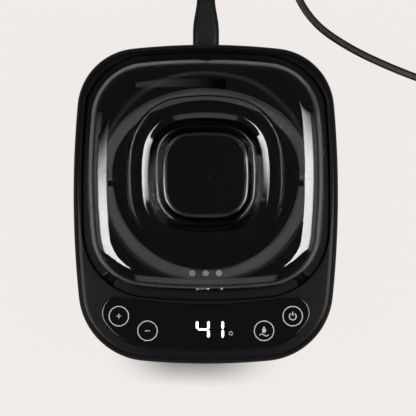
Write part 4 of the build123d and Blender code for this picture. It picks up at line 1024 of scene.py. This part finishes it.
class WARMER_OT_lid(WarmerOperator, bpy.types.Operator):
    """Build the smoked lid"""

    bl_idname = "warmer.lid"
    bl_label = "Lid"

    def execute(self, context):
        lid = sizes(context.scene.warmer_lid)
        tilt = atan(lid.lean / (lid.top - lid.rim))

        def wall_lean(height):
            return lid.lean * (height - lid.rim) / (lid.top - lid.rim)

        def body_loops(inset, shoulder, top):
            """The wall and the shoulder up to the flat, from the rim."""
            centre = inset + wall_lean(top) + shoulder * tan((pi / 2 - tilt) / 2)
            profile = [(inset, lid.rim), (inset + wall_lean(lid.rim + 0.4), lid.rim + 0.4),
                       (inset + wall_lean(lid.wall_end), lid.wall_end)]
            for step in range(19):
                turn = tilt + (pi / 2 - tilt) * step / 18
                profile.append((centre - shoulder * cos(turn), top - shoulder * (1 - sin(turn))))
            profile.append((centre + 0.4, top))
            return [raised(lid_outline(lid, at), height) for at, height in profile]

        def ring_loops(profile, half_width, bow, corner):
            return [raised(square_outline(lid, half_width, bow, corner, at), height)
                    for at, height in profile]

        floor = lid.top - lid.trough_depth
        grip_top = lid.top - lid.grip_sink

        def roll(grow):
            """The trough's wall: shallow lip, soft fall and steep foot, moved by a distance."""
            line = [(0.0, 0.0), (0.12, 0.1), (lid.crease_step * 0.65, lid.crease_step)]
            run = (lid.crease - lid.trough - line[-1][0]) / 24
            fall = lid.trough_depth - lid.crease_step
            slopes = [tan(lid.lip_slope)] * 12 + [tan((lid.lip_slope + lid.wall_slope) / 2)]
            slopes += [tan(lid.wall_slope + radians(0.5) * step) for step in range(5)]
            slopes += [tan(lid.foot_slope)] * 6
            for slope in slopes:
                across, depth = line[-1]
                line.append((across + run, depth + fall * slope / sum(slopes)))
            profile = []
            for index, (across, depth) in enumerate(line):
                before, after = line[max(0, index - 1)], line[min(len(line) - 1, index + 1)]
                run, drop = after[0] - before[0], after[1] - before[1]
                size = hypot(run, drop)
                profile.append((across - grow * drop / size, lid.top - depth - grow * run / size))
            return profile

        # Outside: wall, shoulder, flat, crease, trough, floor, grip
        outside = body_loops(0, lid.shoulder, lid.top)
        bowl = [(-0.25, lid.top)] + roll(0)[:-1]
        outside += ring_loops(bowl, lid.crease, lid.crease_bow, lid.crease_corner)
        foot = lid.grip_lean
        last_roll = roll(0)[-1]
        lower = rounded([bowl[-1] + (0,), last_roll + (lid.foot_round,),
                         (last_roll[0] + 3, floor, 0)], 5, 0.05)[2:-1]
        outside += ring_loops(lower, lid.crease, lid.crease_bow, lid.crease_corner)
        grip = rounded([(-foot - 0.8, floor, 0), (-foot, floor, lid.foot_round),
                        (0, grip_top, lid.grip_edge), (4.0, grip_top, 0)], 6, 0.15)
        outside += ring_loops(grip, lid.grip, lid.grip_bow, lid.grip_corner)
        count = len(outside[0])
        # The gate mark in the middle of the grip
        gate = [(9.0, 0), (1.05, 0), (0.8, -0.3), (0.5, -0.3), (0.3, 0.05)]
        outside += [raised(circle(radius, lid.gate_x, lid.gate_y, count), grip_top + rise)
                    for radius, rise in gate]

        # Inside, one wall in from the outside
        wall = lid.wall
        under = lid.top - wall
        inside = body_loops(wall, lid.shoulder - wall, under)
        inner_roll = roll(wall)
        bowl = [(-0.35 - wall * 0.3, under)] + inner_roll
        inside += ring_loops(bowl, lid.crease, lid.crease_bow, lid.crease_corner)
        inside += ring_loops([(inner_roll[-1][0] + 0.3, floor - wall)], lid.crease, lid.crease_bow,
                             lid.crease_corner)
        low_grow = lid.grip_lean * (grip_top - floor + wall) / (grip_top - floor)
        hollow = rounded([(wall - low_grow - 1.2, floor - wall, 0),
                          (wall - low_grow, floor - wall, 0.6), (wall, grip_top - wall, 0.5),
                          (6.0, grip_top - wall, 0)], 4, 0.1)
        inside += ring_loops(hollow, lid.grip, lid.grip_bow, lid.grip_corner)
        surface = skin(outside[::-1] + inside, (lid.gate_x, lid.gate_y, grip_top + 0.14),
                       (0, lid.well, grip_top - wall))
        piece = new_object("lid_visible", surface, 40)
        cutters = []
        for index in (-1, 0, 1):
            hole = circle(lid.vent / 2, index * lid.vent_pitch,
                          lid.well - lid.half_length + lid.vent_inset, 40)
            low, high = lid.top - 30, lid.top + 10
            cutters.append(new_object("vent_cutter", solid_between(raised(hole, low),
                                                                   raised(hole, high))))
        cut(piece, cutters)
        settle(piece, "lid_smoke", "lid_body", ["lid"])
        return {"FINISHED"}


class WARMER_OT_pot(WarmerOperator, bpy.types.Operator):
    """Build the pot, its handles and their hinges"""

    bl_idname = "warmer.pot"
    bl_label = "Pot"

    def execute(self, context):
        pot = sizes(context.scene.warmer_pot)
        lid = sizes(context.scene.warmer_lid)
        outer = pot.inner + pot.wall
        profile = rounded([(2.0, pot.floor, 0), (pot.inner, pot.floor, pot.corner),
                           (pot.inner, pot.flange_top, pot.lip), (pot.flange, pot.flange_top, 0.35),
                           (pot.flange, pot.flange_under, 0.35), (outer, pot.flange_under, 0),
                           (outer, pot.floor - pot.wall, pot.corner + pot.wall),
                           (2.0, pot.floor - pot.wall, 0)], 8)
        loops = [raised(circle(radius, 0, lid.well), height) for radius, height in profile]
        surface = skin(loops, (0, lid.well, pot.floor), (0, lid.well, pot.floor - pot.wall))
        settle(new_object("pot_visible", surface), "pot_aluminium", "pot_body", ["pot"])
        for node in ("handle_front", "handle_rear", "hinge_brackets", "hinge_pins"):
            copied(node)
        return {"FINISHED"}


class WARMER_OT_heater(WarmerOperator, bpy.types.Operator):
    """Finish the well, the heater and what stands on the boards"""

    bl_idname = "warmer.heater"
    bl_label = "Heater"

    def execute(self, context):
        for node in ("heater_well", "well_seal", "heat_shield", "heater_band", "band_clamp",
                     "well_screws", "base_screws", "capacitors"):
            copied(node)
        return {"FINISHED"}


class WARMER_OT_lead(WarmerOperator, bpy.types.Operator):
    """Build the connector, the flat cord and the plug"""

    bl_idname = "warmer.lead"
    bl_label = "Mains lead"

    def execute(self, context):
        lead = sizes(context.scene.warmer_lead)
        # Sections along the connector: place, width, height and corner radius
        bevel, straight = lead.grip_bevel, lead.grip_straight
        nose_start = lead.face - lead.nose
        sections = [(nose_start, lead.nose_wide - 1.0, lead.nose_tall - 1.0, 3.6),
                    (nose_start + 0.6, lead.nose_wide, lead.nose_tall, 4.2),
                    (lead.face, lead.nose_wide, lead.nose_tall, 4.2)]
        for on, less, less_corner in ((0, 2 * bevel, 0.6), (0.2, 0.6, 0.2), (bevel, 0, 0),
                                      (straight * lead.grip, 0, 0)):
            sections.append((lead.face + on, lead.grip_wide - less, lead.grip_tall - less,
                             lead.grip_corner - less_corner))
        for part in (0.25, 0.5, 0.75, 1.0):
            ease = part * part * (3 - 2 * part)
            sections.append((lead.face + lead.grip * (straight + 0.53 * part),
                             lead.grip_wide + (lead.grip_narrow - lead.grip_wide) * ease,
                             lead.grip_tall + (lead.grip_low - lead.grip_tall) * ease,
                             lead.grip_corner))
        sections.append((lead.face + lead.grip, lead.grip_narrow - 2 * bevel,
                         lead.grip_low - 2 * bevel, lead.grip_corner - bevel))
        loops = [[(x, y, lead.inlet + z) for x, z in rounded_rectangle(wide, tall, corner)]
                 for y, wide, tall, corner in sections]
        surface = together(skin(loops), flat_fill([loops[0]]), flat_fill([loops[-1]]))
        connector = settle(new_object("lead_connector_visible", surface, 40), "lead_black",
                           "mains_lead", ["lead_connector"])
        relief = copied("connector_strain_relief")
        plug = copied("mains_plug", 40)
        plug_relief = copied("plug_strain_relief")
        blades = copied("plug_blades")

        floor = lead.cord_thick / 2
        route = [(0.0, 166.4, 24.0), (0.0, 184.0, 24.0), (0.0, 203.6, 15.0), (13.6, 219.0, 5.5),
                 (34.4, 222.5, floor), (52.7, 212.0, floor), (59.5, 193.5, floor),
                 (60.6, 166.0, floor), (76.3, 134.5, floor), (105.0, 114.4, floor),
                 (140.0, 98.4, floor), (168.07, 88.3, floor), (189.73, 85.70, floor)]
        # The coil: inwards on the table, up half a turn, outwards on top, then on to the plug
        upper = floor + lead.cord_thick + lead.coil_gap
        per_half = 10
        for step in range(per_half * (2 * lead.coil_half_turns + 1) + 1):
            half_turns = step / per_half
            turn = lead.coil_start + pi * half_turns
            inward = min(half_turns, lead.coil_half_turns)
            climb = min(1.0, max(0.0, half_turns - lead.coil_half_turns))
            outward = max(0.0, half_turns - lead.coil_half_turns - 1)
            radius = lead.coil_radius - (inward - outward) * lead.coil_pitch / 2
            height = floor + (upper - floor) * climb
            height += (lead.coil_end - upper) * max(0.0, outward - lead.coil_half_turns + 1)
            route.append((lead.coil_x + radius * cos(turn), lead.coil_y + radius * sin(turn),
                          height))
        route += [(204.8, 159.4, lead.coil_end), (202.79, 159.76, lead.coil_end)]
        line = bpy.data.curves.new("mains_cord", "CURVE")
        line.dimensions = "3D"
        spline = line.splines.new("NURBS")
        spline.points.add(len(route) - 1)
        for point, place in zip(spline.points, route):
            point.co = [part * MM for part in place] + [1.0]
            point.tilt = pi / 2
        spline.order_u = 3
        spline.use_endpoint_u = True
        spline.resolution_u = 6
        line.twist_mode = "Z_UP"
        line.extrude = (lead.cord_wide - lead.cord_thick) / 2 * MM
        line.bevel_depth = lead.cord_thick / 2 * MM
        line.bevel_resolution = 5
        line.use_fill_caps = True
        line.materials.append(FINISHES["cord_black"])
        cord = bpy.data.objects.new("mains_cord_visible", line)
        context.scene.collection.objects.link(cord)
        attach(cord, "mains_lead")
        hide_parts("mains_cord", "mains_cord_coil")
        return {"FINISHED"}


# The lamps are panels bent round a level line over the lid, made of this many faces each way
LINE_BACK, LINE_UP = 18, 130
LAMP_FACES = 12


def lamp(name, along, rise, soft_along, soft_rise, strength, reach=1100.0, turned=False):
    """A panel that only shines, as a softbox does, bent over the object about a level line.

    along is its range along that line in millimetres, rise its range of heights in degrees over
    the horizon, soft_along and soft_rise the shares of each over which it fades at its two ends.
    It stands at the right, at the left where reach is negative, or in front where it is turned.
    """
    points, shares = [], []
    for row in range(LAMP_FACES + 1):
        for column in range(LAMP_FACES + 1):
            shares.append((column / LAMP_FACES, row / LAMP_FACES))
            line = along[0] + (along[1] - along[0]) * column / LAMP_FACES
            tilt = radians(rise[0] + (rise[1] - rise[0]) * row / LAMP_FACES)
            out, height = reach * cos(tilt), LINE_UP + abs(reach) * sin(tilt)
            points.append((line, LINE_BACK - out, height) if turned else (out, line, height))
    width = LAMP_FACES + 1
    faces = [(row * width + column, row * width + column + 1, (row + 1) * width + column + 1,
              (row + 1) * width + column)
             for row in range(LAMP_FACES) for column in range(LAMP_FACES)]
    mesh = bpy.data.meshes.new(name)
    mesh.from_pydata([Vector(point) * MM for point in points], [], faces)
    layer = mesh.uv_layers.new(name="UVMap")
    for corner in mesh.loops:
        layer.data[corner.index].uv = shares[corner.vertex_index]
    panel = bpy.data.objects.new(name, mesh)
    bpy.context.scene.collection.objects.link(panel)
    material = bpy.data.materials.new(name)
    material.use_nodes = True
    tree = material.node_tree
    tree.nodes.clear()
    place = add_node(tree, "ShaderNodeUVMap", {"uv_map": "UVMap"})
    parts = add_node(tree, "ShaderNodeSeparateXYZ", links={"Vector": place.outputs["UV"]})
    # The shine fades at all four edges
    level = None
    for axis, ends in (("X", soft_along), ("Y", soft_rise)):
        for low, high in ((0.0, ends[0]), (1.0, 1.0 - ends[1])):
            edge = add_node(tree, "ShaderNodeMapRange", {"interpolation_type": "SMOOTHSTEP"},
                            values={"From Min": low, "From Max": high},
                            links={"Value": parts.outputs[axis]})
            both = add_node(tree, "ShaderNodeMath", {"operation": "MULTIPLY"},
                            links={0: edge.outputs["Result"]})
            both.inputs[1].default_value = strength if level is None else 1.0
            if level:
                tree.links.new(level.outputs[0], both.inputs[1])
            level = both
    shine = add_node(tree, "ShaderNodeEmission", values={"Color": linear("#FFFFFF")},
                     links={"Strength": level.outputs[0]})
    seen = add_node(tree, "ShaderNodeLightPath")
    hidden = add_node(tree, "ShaderNodeBsdfTransparent")
    mixed = add_node(tree, "ShaderNodeMixShader", links={0: seen.outputs["Is Camera Ray"],
                                                         1: shine.outputs["Emission"],
                                                         2: hidden.outputs["BSDF"]})
    add_node(tree, "ShaderNodeOutputMaterial", links={"Surface": mixed.outputs["Shader"]})
    mesh.materials.append(material)
    return panel


class WARMER_OT_stage(WarmerOperator, bpy.types.Operator):
    """Set up the table, the softboxes, the world and the camera"""

    bl_idname = "warmer.stage"
    bl_label = "Stage"

    def execute(self, context):
        colours = context.scene.warmer_colours
        set_up = sizes(context.scene.warmer_stage)
        stage = []

        # Table: pale to the camera, dull to the light, so that the shadow stays faint
        mesh = bpy.data.meshes.new("table")
        half = set_up.table * MM
        mesh.from_pydata([(-half, -half, 0), (half, -half, 0), (half, half, 0), (-half, half, 0)],
                         [], [(0, 1, 2, 3)])
        table = bpy.data.objects.new("table", mesh)
        table.location.z = -set_up.table_gap * MM
        context.scene.collection.objects.link(table)
        material = bpy.data.materials.new("Table")
        material.use_nodes = True
        tree = material.node_tree
        tree.nodes.clear()
        seen = add_node(tree, "ShaderNodeLightPath")
        plain = add_node(tree, "ShaderNodeBsdfDiffuse", values={"Color": linear(colours.table)})
        # The shadow: the table close to the wall darkens, in front of the housing's middle only
        near = add_node(tree, "ShaderNodeAmbientOcclusion",
                        values={"Distance": set_up.shadow * MM})
        dark = add_node(tree, "ShaderNodeMath", {"operation": "POWER"},
                        links={0: near.outputs["AO"]})
        dark.inputs[1].default_value = 4.5
        place = add_node(tree, "ShaderNodeTexCoord")
        parts = add_node(tree, "ShaderNodeSeparateXYZ", links={"Vector": place.outputs["Object"]})
        front, left, right = (
            add_node(tree, "ShaderNodeMapRange", {"interpolation_type": "SMOOTHSTEP"},
                     values={"From Min": none * MM, "From Max": full * MM},
                     links={"Value": parts.outputs[axis]})
            for axis, none, full in (("Y", -85, -112), ("X", -75, -20), ("X", 60, 0)))
        sides = add_node(tree, "ShaderNodeMath", {"operation": "MULTIPLY"},
                         links={0: left.outputs["Result"], 1: right.outputs["Result"]})
        where = add_node(tree, "ShaderNodeMath", {"operation": "MULTIPLY"},
                         links={0: sides.outputs[0], 1: front.outputs["Result"]})
        level = add_node(tree, "ShaderNodeMapRange", values={"To Min": 1.0},
                         links={"Value": where.outputs[0], "To Max": dark.outputs[0]})
        glow = add_node(tree, "ShaderNodeEmission", values={"Color": linear(colours.floor)},
                        links={"Strength": level.outputs["Result"]})
        factor = add_node(tree, "ShaderNodeMath", {"operation": "MULTIPLY"},
                          links={0: seen.outputs["Is Camera Ray"]})
        factor.inputs[1].default_value = 0.97
        mixed = add_node(tree, "ShaderNodeMixShader", links={0: factor.outputs[0],
                                                             1: plain.outputs["BSDF"],
                                                             2: glow.outputs["Emission"]})
        add_node(tree, "ShaderNodeOutputMaterial", links={"Surface": mixed.outputs["Shader"]})
        mesh.materials.append(material)
        stage.append(table)

        # Softboxes high up at both sides, a far window that shows as a faint patch on the lid, and
        # dim walls in front and at the sides
        box = ((22, 76), (0.03, 0.3), (0.22, 0.02), 16.0)
        wall = ((2, 38), (0.1, 0.2), (0.02, 0.2), 1.0)
        stage += [lamp("softbox_left", (-500, 160), *box, -1100.0),
                  lamp("softbox_right", (-400, 260), *box),
                  lamp("window", (-91, 24), (78.6, 80.5), (0.03, 0.85), (0.1, 0.1), 0.6, -783.3,
                       turned=True),
                  lamp("front_wall", (-400, 400), (2, 44), (0.2, 0.2), (0.02, 0.2), 0.9,
                       turned=True),
                  lamp("side_wall_left", (-500, 300), *wall, -1150.0),
                  lamp("side_wall_right", (-500, 300), *wall, 1150.0)]

        world = bpy.data.worlds.new("Studio")
        context.scene.world = world
        world.use_nodes = True
        tree = world.node_tree
        tree.nodes.clear()
        seen = add_node(tree, "ShaderNodeLightPath")
        dim = add_node(tree, "ShaderNodeBackground", values={"Color": linear("#FFFFFF"),
                                                             "Strength": 0.1})
        pale = add_node(tree, "ShaderNodeBackground", values={"Color": linear(colours.floor),
                                                              "Strength": 1.0})
        mixed = add_node(tree, "ShaderNodeMixShader", links={0: seen.outputs["Is Camera Ray"],
                                                             1: dim.outputs["Background"],
                                                             2: pale.outputs["Background"]})
        add_node(tree, "ShaderNodeOutputWorld", links={"Surface": mixed.outputs["Shader"]})

        camera_data = bpy.data.cameras.new("camera")
        camera_data.lens = set_up.lens
        camera_data.sensor_width = 36.0
        camera_data.clip_start = 0.01
        camera = bpy.data.objects.new("camera", camera_data)
        camera.location = [part * MM for part in (set_up.camera_x, set_up.camera_y,
                                                  set_up.camera_up)]
        context.scene.collection.objects.link(camera)
        context.scene.camera = camera
        context.scene.view_settings.view_transform = "Standard"
        return {"FINISHED"}


class WARMER_PT_build(bpy.types.Panel):
    """Lists the steps in the sidebar"""

    bl_label = "Wax warmer"
    bl_space_type = "VIEW_3D"
    bl_region_type = "UI"
    bl_category = "Wax warmer"

    def draw(self, context):
        for step in STEPS:
            self.layout.operator(step.bl_idname)


STEPS = (WARMER_OT_finishes, WARMER_OT_stage, WARMER_OT_lead, WARMER_OT_housing, WARMER_OT_panel,
         WARMER_OT_pot, WARMER_OT_heater, WARMER_OT_lid)
GROUPS = {"warmer_housing": HousingSizes, "warmer_panel": PanelSizes, "warmer_lid": LidSizes,
          "warmer_pot": PotSizes, "warmer_prints": PrintSizes, "warmer_lead": LeadSizes,
          "warmer_stage": StageSizes, "warmer_colours": Colours}


def register():
    for name, group in GROUPS.items():
        bpy.utils.register_class(group)
        setattr(bpy.types.Scene, name, PointerProperty(type=group))
    for step in STEPS:
        bpy.utils.register_class(step)
    bpy.utils.register_class(WARMER_PT_build)


def unregister():
    bpy.utils.unregister_class(WARMER_PT_build)
    for step in reversed(STEPS):
        bpy.utils.unregister_class(step)
    for name, group in GROUPS.items():
        delattr(bpy.types.Scene, name)
        bpy.utils.unregister_class(group)


def main():
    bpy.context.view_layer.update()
    register()
    bpy.ops.warmer.finishes()
    bpy.ops.warmer.stage()
    bpy.ops.warmer.lead()
    bpy.ops.warmer.housing()
    bpy.ops.warmer.panel()
    bpy.ops.warmer.pot()
    bpy.ops.warmer.heater()
    bpy.ops.warmer.lid()


if __name__ == "__main__":
    main()
